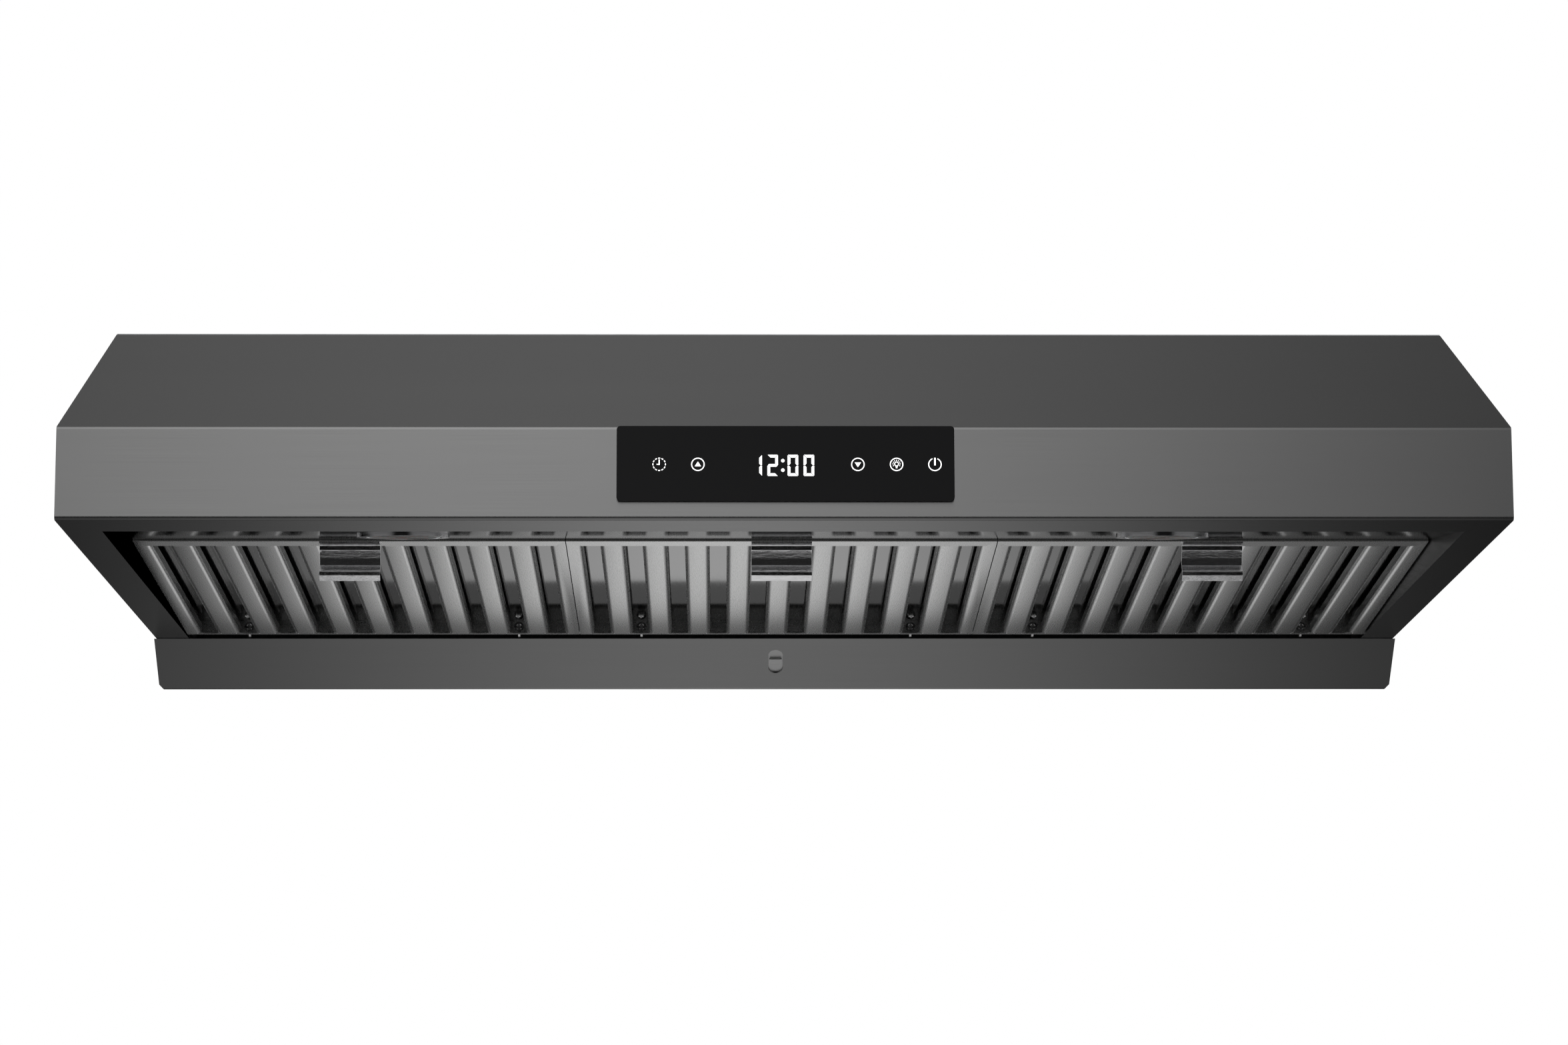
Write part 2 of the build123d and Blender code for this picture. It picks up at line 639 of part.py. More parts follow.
def make_discharge_box():
    """The box between the scrolls that turns the air up into the collar."""
    reach = BLOWER_X - SCROLL_REACH
    t = SHEET
    y0, y1 = DUCT_Y - DUCT_R - 5, DEPTH - SHEET - 12
    z0, z1 = DECK_Z + SHEET, DUCT_BOTTOM
    box = block(-reach, reach, y0, y1, z0, z1)
    box -= block(-reach + t, reach - t, y0 + t, y1 - t, z0 + t, z1 - t)
    low = BLOWER_Y + SCROLL_START_R * sin(radians(SCROLL_TONGUE)) + t
    high = BLOWER_Y + SCROLL_END_R - t
    box -= block(-reach - 5, reach + 5, low, high, z0 + t, z0 + SCROLL_HEIGHT - t)
    return box - round_bar(DUCT_R - SHEET, 10, (0, DUCT_Y, z1))


# ---- Duct collar and damper ------------------------------------------------------------

def make_duct_collar(fastener_shapes):
    """The round collar: a flange on the top panel, and below it a neck joggled in a little."""
    seat = HEIGHT + SHEET
    neck_r = DUCT_R - DUCT_JOGGLE
    tube = Pos(0, DUCT_Y, HEIGHT) * ring(DUCT_R, DUCT_R - SHEET, DUCT_TOP - HEIGHT)
    neck = Pos(0, DUCT_Y, DUCT_BOTTOM) * ring(neck_r, neck_r - SHEET, seat - DUCT_BOTTOM)
    flange = Pos(0, DUCT_Y, HEIGHT) * ring(DUCT_FLANGE_R, neck_r - SHEET, SHEET)
    pin_holes = round_bar(DAMPER_PIN_R, 3 * DUCT_R, (0, DUCT_Y, DAMPER_Z), (0, 90, 0))
    return tube + neck + flange - pin_holes - fastener_shapes


def make_damper_pin():
    """The pin across the collar that both flaps swing on."""
    return round_bar(DAMPER_PIN_R, 2 * DUCT_R + 4, (0, DUCT_Y, DAMPER_Z), (0, 90, 0))


def make_damper_flap(side):
    """A half-round flap, -1 in front and 1 behind, with two knuckles round the pin."""
    radius, knuckle_r, edge = DUCT_R - SHEET - 1.5, 4.2, 5.0
    half_disc = Circle(radius) & Pos(0, side * (radius / 2 + edge)) * Rectangle(2 * radius, radius)
    leaf = Pos(0, 0, -0.4) * extrude(half_disc, 0.8)
    spans = ((-60, -31), (1, 30)) if side < 0 else ((-30, -1), (31, 60))
    shape = Part() + leaf
    for x0, x1 in spans:
        shape += round_bar(knuckle_r, x1 - x0, ((x0 + x1) / 2, 0, 0), (0, 90, 0))
        y0, y1 = sorted((side * 2.0, side * (edge + 2)))
        shape += block(x0, x1, y0, y1, -0.4, 0.4)
    shape -= round_bar(DAMPER_PIN_R + DAMPER_PLAY, 3 * radius, (0, 0, 0), (0, 90, 0))
    return Pos(0, DUCT_Y, DAMPER_Z) * shape


# ---- Wiring ----------------------------------------------------------------------------

def make_junction_box():
    """The steel box under the wiring hole, open at the front behind its cover."""
    x0, x1, y0, y1, z0 = JUNCTION
    t, top = SHEET, HEIGHT - SHEET
    box = block(x0, x1, y0, y1, z0, top)
    return box - block(x0 + t, x1 - t, y0 - t, y1 - t, z0 + t, top + t)


def make_junction_cover():
    """The cover on the junction box's open front."""
    x0, x1, y0, _, z0 = JUNCTION
    return block(x0, x1, y0 - SHEET, y0, z0, HEIGHT - SHEET)


def make_capacitor():
    """The motors' run capacitor, a can standing on the deck."""
    can = Cylinder(16, 52, align=(Align.CENTER, Align.CENTER, Align.MIN))
    can = fillet(can.edges().sort_by(Axis.Z)[-1], 2)
    tabs = [Pos(x, 0, 52) * Box(6, 1, 16) for x in (-6, 6)]
    return Pos(400, 500, DECK_Z + SHEET) * (can + tabs)


# ---- Fasteners -------------------------------------------------------------------------

def collar_screws():
    """Six screws through the collar's flange into the top panel."""
    r = (DUCT_R + DUCT_FLANGE_R) / 2
    places = [(r * cos(i * pi / 3 + 0.3), DUCT_Y + r * sin(i * pi / 3 + 0.3)) for i in range(6)]
    return [screw((x, y, HEIGHT + SHEET), shank=5.0) for x, y in places]


def cover_screws():
    """Four screws in the corners of the knock-out cover, heads inside."""
    w, h = KNOCKOUT[0] / 2 + 6, KNOCKOUT[1] / 2 + 6
    places = [(x, z) for x in (-w, w) for z in (KNOCKOUT_Z - h, KNOCKOUT_Z + h)]
    return [screw((x, DEPTH - 2 * SHEET, z), (90, 0, 0), shank=2 * SHEET) for x, z in places]


def main():
    """Build and write every piece."""
    os.makedirs("parts", exist_ok=True)
    in_collar, in_cover = collar_screws(), cover_screws()

    skin = make_canopy_skin()
    back = make_back_panel(in_cover)
    save("canopy_skin", skin)
    save("back_panel", back)
    save("top_panel", make_top_panel(in_collar))
    save("knockout_cover", make_knockout_cover(in_cover))
    save("side_panel_left", make_side_panel(-1, skin, back))
    save("side_panel_right", make_side_panel(1, skin, back))
    save("inner_front_panel", make_inner_front_panel())
    save("filter_catches", make_filter_catches())

    for index, name in enumerate(FILTERS):
        save(f"filter_frame_{name}", make_filter_frame(index))
        save(f"filter_baffles_{name}", make_filter_baffles(index))
        save(f"filter_rivets_{name}", make_filter_rivets(index))
        save(f"filter_handle_{name}", make_filter_handle(index))
    save("filter_hinge_rod", make_hinge_rod())

    save("control_glass", make_control_glass())
    save("control_tape", make_control_tape())
    save("control_housing", make_control_housing())
    save("touch_board", make_touch_board())
    save("clock_display", make_clock_display())

    for side, name in ((-1, "left"), (1, "right")):
        save(f"lamp_bezel_{name}", make_lamp_bezel(side))
        save(f"lamp_lens_{name}", make_lamp_lens(side))
        save(f"lamp_board_{name}", make_lamp_board(side))
        save(f"lamp_can_{name}", make_lamp_can(side))
        save(f"blower_housing_{name}", make_blower_housing(side))
        save(f"blower_inlet_{name}", make_blower_inlet(side))
        save(f"blower_wheel_{name}", make_blower_wheel(side))
        save(f"motor_shaft_{name}", make_motor_shaft(side))
        save(f"motor_{name}", make_motor(side))

    save("grease_tray", make_grease_tray())
    save("tray_latch", make_tray_latch())
    save("blower_deck", make_deck())
    save("discharge_box", make_discharge_box())
    save("duct_collar", make_duct_collar(in_collar))
    save("damper_pin", make_damper_pin())
    save("damper_flap_front", make_damper_flap(-1))
    save("damper_flap_rear", make_damper_flap(1))
    save("junction_box", make_junction_box())
    save("junction_cover", make_junction_cover())
    save("capacitor", make_capacitor())

    save("collar_screws", Compound(children=in_collar))
    save("cover_screws", Compound(children=in_cover))
    save("motor_screws", Compound(children=motor_screws(-1) + motor_screws(1)))

    y, z = hinge_line()
    print("hinge line", round(y - SCREW_CENTRE_Y, 3), round(z - HEIGHT, 3))
    print("tray slope", tray_slope())


main()
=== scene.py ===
# %% [markdown]
# # An under cabinet range hood
# This lesson dresses a finished metal model of a kitchen hood: dark brushed steel outside,
# three bright slotted filters below, a glass touch panel in front and two blowers inside.
# Every later step reads its places from those pieces, so nothing is fitted by eye.

import math

import bmesh
import bpy
from mathutils import Matrix, Vector


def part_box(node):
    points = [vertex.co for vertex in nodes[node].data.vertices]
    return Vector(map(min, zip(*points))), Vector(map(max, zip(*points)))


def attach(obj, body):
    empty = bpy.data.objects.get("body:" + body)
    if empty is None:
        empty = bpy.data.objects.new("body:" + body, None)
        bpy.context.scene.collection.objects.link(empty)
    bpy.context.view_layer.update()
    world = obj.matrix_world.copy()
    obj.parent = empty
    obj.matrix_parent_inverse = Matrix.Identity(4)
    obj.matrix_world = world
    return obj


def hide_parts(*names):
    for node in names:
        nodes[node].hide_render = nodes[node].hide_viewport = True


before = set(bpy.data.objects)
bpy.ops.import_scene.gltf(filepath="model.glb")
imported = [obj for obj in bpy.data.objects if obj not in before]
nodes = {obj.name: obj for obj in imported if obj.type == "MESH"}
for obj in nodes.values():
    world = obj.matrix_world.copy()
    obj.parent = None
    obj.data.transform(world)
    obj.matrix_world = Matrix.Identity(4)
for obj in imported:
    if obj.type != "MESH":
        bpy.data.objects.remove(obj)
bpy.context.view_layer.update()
MM = 0.001
SIDES = ("left", "right")
FILTERS = ("left", "centre", "right")
print("pieces in the frame:", len(nodes))

# %% [markdown]
# ## The camera
# The hood hangs above the cook's eyes, so the camera stands low in front of it and looks up
# a little. A long lens a few metres away keeps the edges almost parallel, as in a catalogue.
# The camera stands a hand's width left of the middle, and turns back towards it.

# %% Camera
skin_low, skin_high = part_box("canopy_skin")
FRONT_Y = skin_low.y
BOTTOM_Z = skin_low.z
EYE_LEFT, EYE_BACK, EYE_DOWN = 40.0 * MM, 2762.2 * MM, 473.5 * MM
EYE = Vector((-EYE_LEFT, FRONT_Y - EYE_BACK, BOTTOM_Z - EYE_DOWN))
LOOK_UP = math.radians(9.695)
LOOK_RIGHT = math.radians(0.808)
ROLL = math.radians(-0.123)

camera_data = bpy.data.cameras.new("camera")
camera_data.lens = 103.48
camera_data.sensor_width = 36.0
camera = bpy.data.objects.new("camera", camera_data)
bpy.context.scene.collection.objects.link(camera)
ahead = Vector((
    math.sin(LOOK_RIGHT) * math.cos(LOOK_UP),
    math.cos(LOOK_RIGHT) * math.cos(LOOK_UP),
    math.sin(LOOK_UP),
))
turn = ahead.to_track_quat("-Z", "Y").to_matrix().to_4x4() @ Matrix.Rotation(ROLL, 4, "Z")
camera.matrix_world = Matrix.Translation(EYE) @ turn
bpy.context.scene.camera = camera
print("camera stands", round(-EYE.y + FRONT_Y, 3), "m in front of the hood")

# %% [markdown]
# ## Node helpers
# Most finishes here share the same few steps: a texture read in Object coordinates, squeezed
# by a Mapping node, and a Bump node. Small helpers keep each finish down to what is special.


# %% Helpers for node trees
def new_material(name):
    """An empty material, with its Principled shader already joined to the output."""
    material = bpy.data.materials.new(name)
    material.use_nodes = True
    tree = material.node_tree
    tree.nodes.clear()
    output = tree.nodes.new("ShaderNodeOutputMaterial")
    shader = tree.nodes.new("ShaderNodeBsdfPrincipled")
    tree.links.new(shader.outputs["BSDF"], output.inputs["Surface"])
    return material, tree, shader


def set_inputs(node, **values):
    """Set sockets by name; an underscore stands for a space."""
    for key, value in values.items():
        node.inputs[key.replace("_", " ")].default_value = value
    return node


def noise(tree, scale, size=1.0, detail=2.0, roughness=0.5):
    """Noise on Object coordinates, squeezed by a scale for each axis."""
    place = tree.nodes.new("ShaderNodeTexCoord")
    mapping = set_inputs(tree.nodes.new("ShaderNodeMapping"), Scale=scale)
    texture = tree.nodes.new("ShaderNodeTexNoise")
    set_inputs(texture, Scale=size, Detail=detail, Roughness=roughness)
    tree.links.new(place.outputs["Object"], mapping.inputs["Vector"])
    tree.links.new(mapping.outputs["Vector"], texture.inputs["Vector"])
    return texture.outputs["Fac"]


def spread(tree, source, low, high, start=0.3, end=0.7):
    """Map a texture's middle values to a range."""
    node = tree.nodes.new("ShaderNodeMapRange")
    set_inputs(node, From_Min=start, From_Max=end, To_Min=low, To_Max=high)
    tree.links.new(source, node.inputs["Value"])
    return node.outputs["Result"]


def bump(tree, shader, source, strength, distance):
    """Raise the surface by a texture."""
    node = set_inputs(tree.nodes.new("ShaderNodeBump"), Strength=strength, Distance=distance)
    tree.links.new(source, node.inputs["Height"])
    tree.links.new(node.outputs["Normal"], shader.inputs["Normal"])


def tint(tree, shader, source, dark, light):
    """Colour that wanders between two shades."""
    ramp = tree.nodes.new("ShaderNodeValToRGB")
    ramp.color_ramp.elements[0].position = 0.35
    ramp.color_ramp.elements[1].position = 0.65
    ramp.color_ramp.elements[0].color = (*dark, 1)
    ramp.color_ramp.elements[1].color = (*light, 1)
    tree.links.new(source, ramp.inputs["Fac"])
    tree.links.new(ramp.outputs["Color"], shader.inputs["Base Color"])


def across_grain(tree, shader, grain):
    """Stretch the shine across the brushing: the tangent is square to the grain."""
    geometry = tree.nodes.new("ShaderNodeNewGeometry")
    cross = tree.nodes.new("ShaderNodeVectorMath")
    cross.operation = "CROSS_PRODUCT"
    cross.inputs[1].default_value = grain
    tree.links.new(geometry.outputs["Normal"], cross.inputs[0])
    tree.links.new(cross.outputs["Vector"], shader.inputs["Tangent"])


# %% [markdown]
# ## Brushed steel
# Brushing leaves fine parallel scratches. Along the scratches a reflection stays crisp, and
# across them it smears, so the shader's anisotropy does the large effect and a noise that is
# squeezed hundreds of times across the grain draws the scratches themselves.

# %% Brushed finishes
ALONG_X, ALONG_Y = (1.0, 0.0, 0.0), (0.0, 1.0, 0.0)


def brushed_steel(name, shade, roughness, grain, anisotropy, scratches=0.05, streaking=0.02):
    """Steel brushed along one axis, with a slow change of tone from rolling and polishing."""
    material, tree, shader = new_material(name)
    fine = tuple(9.0 if g else 2600.0 for g in grain)
    slow = tuple(1.2 if g else 9.0 for g in grain)
    low, high = shade * (1 - streaking), shade * (1 + streaking)
    tint(tree, shader, noise(tree, slow, detail=2.0), (low, low, low), (high, high, high * 0.995))
    streaks = noise(tree, fine, detail=2.0, roughness=0.6)
    rough = spread(tree, streaks, roughness - 0.015, roughness + 0.02)
    tree.links.new(rough, shader.inputs["Roughness"])
    bump(tree, shader, streaks, scratches, 0.00003)
    across_grain(tree, shader, grain)
    set_inputs(shader, Metallic=1.0, Anisotropic=anisotropy)
    return material


BLACK_STEEL = brushed_steel("black_stainless", 0.235, 0.25, ALONG_X, 0.9)
FILTER_STEEL = brushed_steel("filter_stainless", 0.94, 0.27, ALONG_Y, 0.3)
# The baffles are the same stainless steel as the filter frames; their far darker shade is painted
# shade for the slots they sit in.
BAFFLE_STEEL_PAINTED_SHADE = brushed_steel("baffle_stainless_painted_shade", 0.24, 0.07, ALONG_Y, 0.2, scratches=0.02)
POLISHED_PANEL = brushed_steel("polished_panel", 0.32, 0.06, ALONG_X, 0.3, scratches=0.01)
set_inputs(POLISHED_PANEL.node_tree.nodes["Principled BSDF"], Specular_Tint=(0.0, 0.0, 0.0, 1.0))
LATCH_STEEL = brushed_steel("latch_steel", 0.72, 0.42, ALONG_X, 0.4)
print("brushed finishes made")

# %% [markdown]
# ## The other metals
# Sheet that nobody sees in the kitchen is plain galvanised steel, whose zinc freezes into
# flat crystals. A Voronoi texture gives each crystal its own shade and shine. Chrome needs
# only a clean mirror with a few faint wipe marks, and zinc screws are duller and yellower.


# %% Galvanised, chrome and other metals
def galvanised_steel():
    """Zinc crystals about 12 mm across, in flat grey shades."""
    material, tree, shader = new_material("galvanised_steel")
    place = tree.nodes.new("ShaderNodeTexCoord")
    cells = set_inputs(tree.nodes.new("ShaderNodeTexVoronoi"), Scale=85.0)
    tree.links.new(place.outputs["Object"], cells.inputs["Vector"])
    grey = tree.nodes.new("ShaderNodeSeparateColor")
    tree.links.new(cells.outputs["Color"], grey.inputs["Color"])
    shade = grey.outputs["Red"]
    tint(tree, shader, shade, (0.46, 0.47, 0.48), (0.53, 0.54, 0.55))
    tree.links.new(spread(tree, shade, 0.36, 0.50, 0, 1), shader.inputs["Roughness"])
    set_inputs(shader, Metallic=1.0)
    return material


def smooth_metal(name, colour, roughness, wear=0.04):
    """Plated or drawn metal: a mirror or satin with faint wipe marks."""
    material, tree, shader = new_material(name)
    marks = noise(tree, (60, 60, 60), detail=5.0, roughness=0.7)
    tree.links.new(spread(tree, marks, roughness, roughness + wear), shader.inputs["Roughness"])
    bump(tree, shader, marks, 0.03, 0.00005)
    set_inputs(shader, Base_Color=(*colour, 1), Metallic=1.0)
    return material


def wispy_chrome():
    """Chrome over hand-polished sheet: long faint ripples that pull reflections into wisps."""
    material, tree, shader = new_material("handle_chrome")
    wisps = noise(tree, (110, 620, 620), detail=4.0, roughness=0.65)
    tree.links.new(spread(tree, wisps, 0.08, 0.20), shader.inputs["Roughness"])
    bump(tree, shader, wisps, 0.45, 0.0004)
    set_inputs(shader, Base_Color=(0.95, 0.95, 0.96, 1), Metallic=1.0)
    return material


def cast_metal(name, colour, roughness, metallic):
    """Cast or enamelled metal, with a fine orange-peel surface."""
    material, tree, shader = new_material(name)
    grain = noise(tree, (1, 1, 1), size=900.0, detail=3.0)
    tree.links.new(spread(tree, grain, roughness, roughness + 0.1), shader.inputs["Roughness"])
    bump(tree, shader, grain, 0.25, 0.0001)
    set_inputs(shader, Base_Color=(*colour, 1), Metallic=metallic)
    return material


GALVANISED = galvanised_steel()
HANDLE_CHROME = wispy_chrome()
LAMP_CHROME = smooth_metal("lamp_chrome", (0.50, 0.50, 0.51), 0.16)
BRIGHT_STEEL = smooth_metal("bright_steel", (0.55, 0.55, 0.55), 0.24)
ZINC = smooth_metal("zinc_plate", (0.62, 0.61, 0.55), 0.30)
LAMP_ALUMINIUM = cast_metal("cast_aluminium", (0.58, 0.58, 0.59), 0.42, 1.0)
MOTOR_BLACK = cast_metal("motor_enamel", (0.030, 0.030, 0.033), 0.38, 0.0)

# %% [markdown]
# ## Glass, plastics and lights
# The touch panel is clear glass printed black on its back, so it reads as a deep even black
# with only a thin reflection. The keys and the clock glow through clear gaps in the print.
# The lamp lenses are frosted: they scatter light, so they look evenly grey when switched off.


# %% Glass, plastics and lit print
def printed_glass():
    """Black printed glass: a very dark body under a thin, low reflection."""
    material, _, shader = new_material("black_glass")
    set_inputs(shader, Base_Color=(0.0055, 0.0055, 0.0058, 1), Roughness=0.09)
    set_inputs(shader, Specular_IOR_Level=0.06)
    return material


def moulded(name, colour, roughness, size=1400.0):
    """Moulded plastic with a fine spark-eroded grain."""
    material, tree, shader = new_material(name)
    grain = noise(tree, (1, 1, 1), size=size, detail=2.0)
    rough = spread(tree, grain, roughness - 0.05, roughness + 0.1)
    tree.links.new(rough, shader.inputs["Roughness"])
    bump(tree, shader, grain, 0.2, 0.00008)
    set_inputs(shader, Base_Color=(*colour, 1))
    return material


def lit_print():
    """The white light of the keys and the clock."""
    material, _, shader = new_material("lit_print")
    set_inputs(shader, Base_Color=(0.9, 0.9, 0.9, 1), Roughness=0.4)
    set_inputs(shader, Emission_Color=(1, 1, 1, 1), Emission_Strength=0.85)
    return material


def frosted_lens():
    """A smoky lens with a fine grain; of its prism texture in rings and spokes, only the rings
    are grown, as ridges further on.
    """
    material, tree, shader = new_material("frosted_lens")
    grain = noise(tree, (1, 1, 1), size=700.0, detail=2.0)
    tree.links.new(spread(tree, grain, 0.28, 0.42), shader.inputs["Roughness"])
    bump(tree, shader, grain, 0.3, 0.0002)
    set_inputs(shader, Base_Color=(0.085, 0.085, 0.083, 1), Subsurface_Weight=0.3)
    set_inputs(shader, Subsurface_Scale=0.002)
    return material


BLACK_GLASS = printed_glass()
LIT_PRINT = lit_print()
FROSTED_LENS = frosted_lens()
BLACK_TAPE = moulded("foam_tape", (0.010, 0.010, 0.010), 0.8, 2500.0)
BLACK_MOULDING = moulded("black_moulding", (0.020, 0.020, 0.021), 0.5)
BOARD_GREEN = moulded("board_green", (0.015, 0.115, 0.045), 0.35)
CAPACITOR_WHITE = moulded("capacitor_case", (0.62, 0.61, 0.57), 0.42)

# %% [markdown]
# ## Dress the metal pieces
# The pieces from the frame keep their shapes. Their meshes are loose triangles, so a Weld
# modifier joins them, and a narrow Bevel rounds the edges of the small bright pieces. A small
# node tree then shades gentle bends smoothly and keeps real corners crisp, and weighted
# normals keep the wide flats even right up to their rounded edges.


# %% Edges and shading for the frame's pieces
def smooth_by_angle():
    """A node tree that shades smooth, except at edges sharper than a limit."""
    tree = bpy.data.node_groups.new("smooth_by_angle", "GeometryNodeTree")
    tree.interface.new_socket("Geometry", in_out="INPUT", socket_type="NodeSocketGeometry")
    limit = tree.interface.new_socket("Limit", in_out="INPUT", socket_type="NodeSocketFloat")
    limit.default_value = math.radians(28)
    tree.interface.new_socket("Geometry", in_out="OUTPUT", socket_type="NodeSocketGeometry")
    entry, exit_node = tree.nodes.new("NodeGroupInput"), tree.nodes.new("NodeGroupOutput")
    angle = tree.nodes.new("GeometryNodeInputMeshEdgeAngle")
    over = tree.nodes.new("FunctionNodeCompare")
    over.data_type, over.operation = "FLOAT", "GREATER_THAN"
    faces = tree.nodes.new("GeometryNodeSetShadeSmooth")
    edges = tree.nodes.new("GeometryNodeSetShadeSmooth")
    edges.domain = "EDGE"
    edges.inputs["Shade Smooth"].default_value = False
    link = tree.links.new
    link(entry.outputs["Geometry"], faces.inputs["Geometry"])
    link(faces.outputs["Geometry"], edges.inputs["Geometry"])
    link(angle.outputs["Unsigned Angle"], over.inputs[0])
    link(entry.outputs["Limit"], over.inputs[1])
    link(over.outputs["Result"], edges.inputs["Selection"])
    link(edges.outputs["Geometry"], exit_node.inputs["Geometry"])
    return tree


SMOOTHING = smooth_by_angle()


def soften(piece, width):
    """Weld, bevel and shade a piece; width 0 leaves the bevel out."""
    weld = piece.modifiers.new("weld", "WELD")
    weld.merge_threshold = 0.002 * MM
    if width:
        bevel = piece.modifiers.new("bevel", "BEVEL")
        bevel.width = width
        bevel.segments = 2
        bevel.limit_method = "ANGLE"
        bevel.angle_limit = math.radians(35)
    shading = piece.modifiers.new("shading", "NODES")
    shading.node_group = SMOOTHING
    flats = piece.modifiers.new("even_flats", "WEIGHTED_NORMAL")
    flats.mode = "FACE_AREA"
    flats.weight = 100
    flats.keep_sharp = True


EDGES = {
    "filter_handle": 0.2 * MM,
    "control_glass": 0.4 * MM,
    "lamp_bezel": 0.3 * MM,
    "tray_latch": 0.3 * MM,
}


def dress(node, material):
    """Give a frame piece its finish, and rounded edges where the list gives a width."""
    width = next((w for stem, w in EDGES.items() if node.startswith(stem)), 0.0)
    piece = nodes[node]
    piece.data.materials.clear()
    piece.data.materials.append(material)
    soften(piece, width)


FINISHES = {
    "canopy_skin": BLACK_STEEL,
    "top_panel": GALVANISED,
    "back_panel": GALVANISED,
    "knockout_cover": GALVANISED,
    "inner_front_panel": POLISHED_PANEL,
    "filter_catches": BRIGHT_STEEL,
    "filter_hinge_rod": BRIGHT_STEEL,
    "control_glass": BLACK_GLASS,
    "control_tape": BLACK_TAPE,
    "control_housing": BLACK_MOULDING,
    "touch_board": BOARD_GREEN,
    "clock_display": BLACK_MOULDING,
    "grease_tray": BLACK_STEEL,
    "tray_latch": LATCH_STEEL,
    "blower_deck": GALVANISED,
    "discharge_box": GALVANISED,
    "duct_collar": GALVANISED,
    "damper_pin": BRIGHT_STEEL,
    "damper_flap_front": GALVANISED,
    "damper_flap_rear": GALVANISED,
    "junction_box": GALVANISED,
    "junction_cover": GALVANISED,
    "capacitor": CAPACITOR_WHITE,
    "collar_screws": ZINC,
    "cover_screws": ZINC,
    "motor_screws": ZINC,
}
SIDE_FINISHES = {
    "side_panel": BLACK_STEEL,
    "lamp_bezel": LAMP_CHROME,
    "lamp_lens": FROSTED_LENS,
    "lamp_board": BOARD_GREEN,
    "lamp_can": LAMP_ALUMINIUM,
    "blower_housing": GALVANISED,
    "blower_inlet": GALVANISED,
    "blower_wheel": GALVANISED,
    "motor_shaft": BRIGHT_STEEL,
    "motor": MOTOR_BLACK,
}
FILTER_FINISHES = {
    "filter_frame": FILTER_STEEL,
    # The baffles' dark steel is painted shade for the slots.
    "filter_baffles": BAFFLE_STEEL_PAINTED_SHADE,
    "filter_rivets": BRIGHT_STEEL,
    "filter_handle": HANDLE_CHROME,
}
for node, material in FINISHES.items():
    dress(node, material)
for stem, material in SIDE_FINISHES.items():
    for side in SIDES:
        dress(f"{stem}_{side}", material)
for stem, material in FILTER_FINISHES.items():
    for name in FILTERS:
        dress(f"{stem}_{name}", material)
print("finishes given to", len(nodes), "pieces")

# %% [markdown]
# ## Growing the pieces that repeat
# Screws, rivets, blades and lens ridges are the same shape many times over. Modelling each by
# hand is slow and drifts, and an Array modifier can't follow a rule such as a spiral of sizes.
# Geometry Nodes state the rule once: a shape, the points it stands on, and how it turns there.
# The helpers below build a tree from a few lines and turn its result into a plain mesh.


# %% Helpers for Geometry Nodes
def start_tree(name, **sizes):
    """A tree with one named input for each size, and a material input."""
    tree = bpy.data.node_groups.new(name, "GeometryNodeTree")
    for label, value in sizes.items():
        kind = "NodeSocketInt" if isinstance(value, int) else "NodeSocketFloat"
        label = label.replace("_", " ")
        socket = tree.interface.new_socket(label, in_out="INPUT", socket_type=kind)
        socket.default_value = value
    tree.interface.new_socket("Finish", in_out="INPUT", socket_type="NodeSocketMaterial")
    tree.interface.new_socket("Geometry", in_out="OUTPUT", socket_type="NodeSocketGeometry")
    return tree, tree.nodes.new("NodeGroupInput").outputs


def step(tree, kind, settings=None, **values):
    """Add a node; settings are its options, values are numbers or links for its sockets."""
    node = tree.nodes.new(kind)
    for key, value in (settings or {}).items():
        setattr(node, key, value)
    for key, value in values.items():
        name = key.replace("_", " ")
        socket = node.inputs[int(name[3:])] if name.startswith("in ") else node.inputs[name]
        if isinstance(value, bpy.types.NodeSocket):
            tree.links.new(value, socket)
        else:
            socket.default_value = value
    return node.outputs[0]


def figure(tree, operation, first, second=0.0):
    """One sum on two numbers or links."""
    return step(tree, "ShaderNodeMath", {"operation": operation}, in_0=first, in_1=second)


def vector(tree, x=0.0, y=0.0, z=0.0):
    """A vector from three numbers or links."""
    return step(tree, "ShaderNodeCombineXYZ", X=x, Y=y, Z=z)


def moved(tree, geometry, x=0.0, y=0.0, z=0.0):
    """A shape shifted along the axes."""
    offset = vector(tree, x, y, z)
    return step(tree, "GeometryNodeTransform", Geometry=geometry, Translation=offset)


def joined(tree, *shapes):
    """Several shapes as one."""
    node = tree.nodes.new("GeometryNodeJoinGeometry")
    for shape in shapes:
        tree.links.new(shape, node.inputs["Geometry"])
    return node.outputs["Geometry"]


def hoop(tree, inner, outer, height, sides=96):
    """A flat ring with a rectangular section, from one radius to another, centred on Z = 0."""
    middle = figure(tree, "MULTIPLY", figure(tree, "ADD", inner, outer), 0.5)
    path = step(tree, "GeometryNodeCurvePrimitiveCircle", Resolution=sides, Radius=middle)
    width = figure(tree, "SUBTRACT", outer, inner)
    section = step(tree, "GeometryNodeCurvePrimitiveQuadrilateral", Width=width, Height=height)
    return step(tree, "GeometryNodeCurveToMesh", Curve=path, Profile_Curve=section)


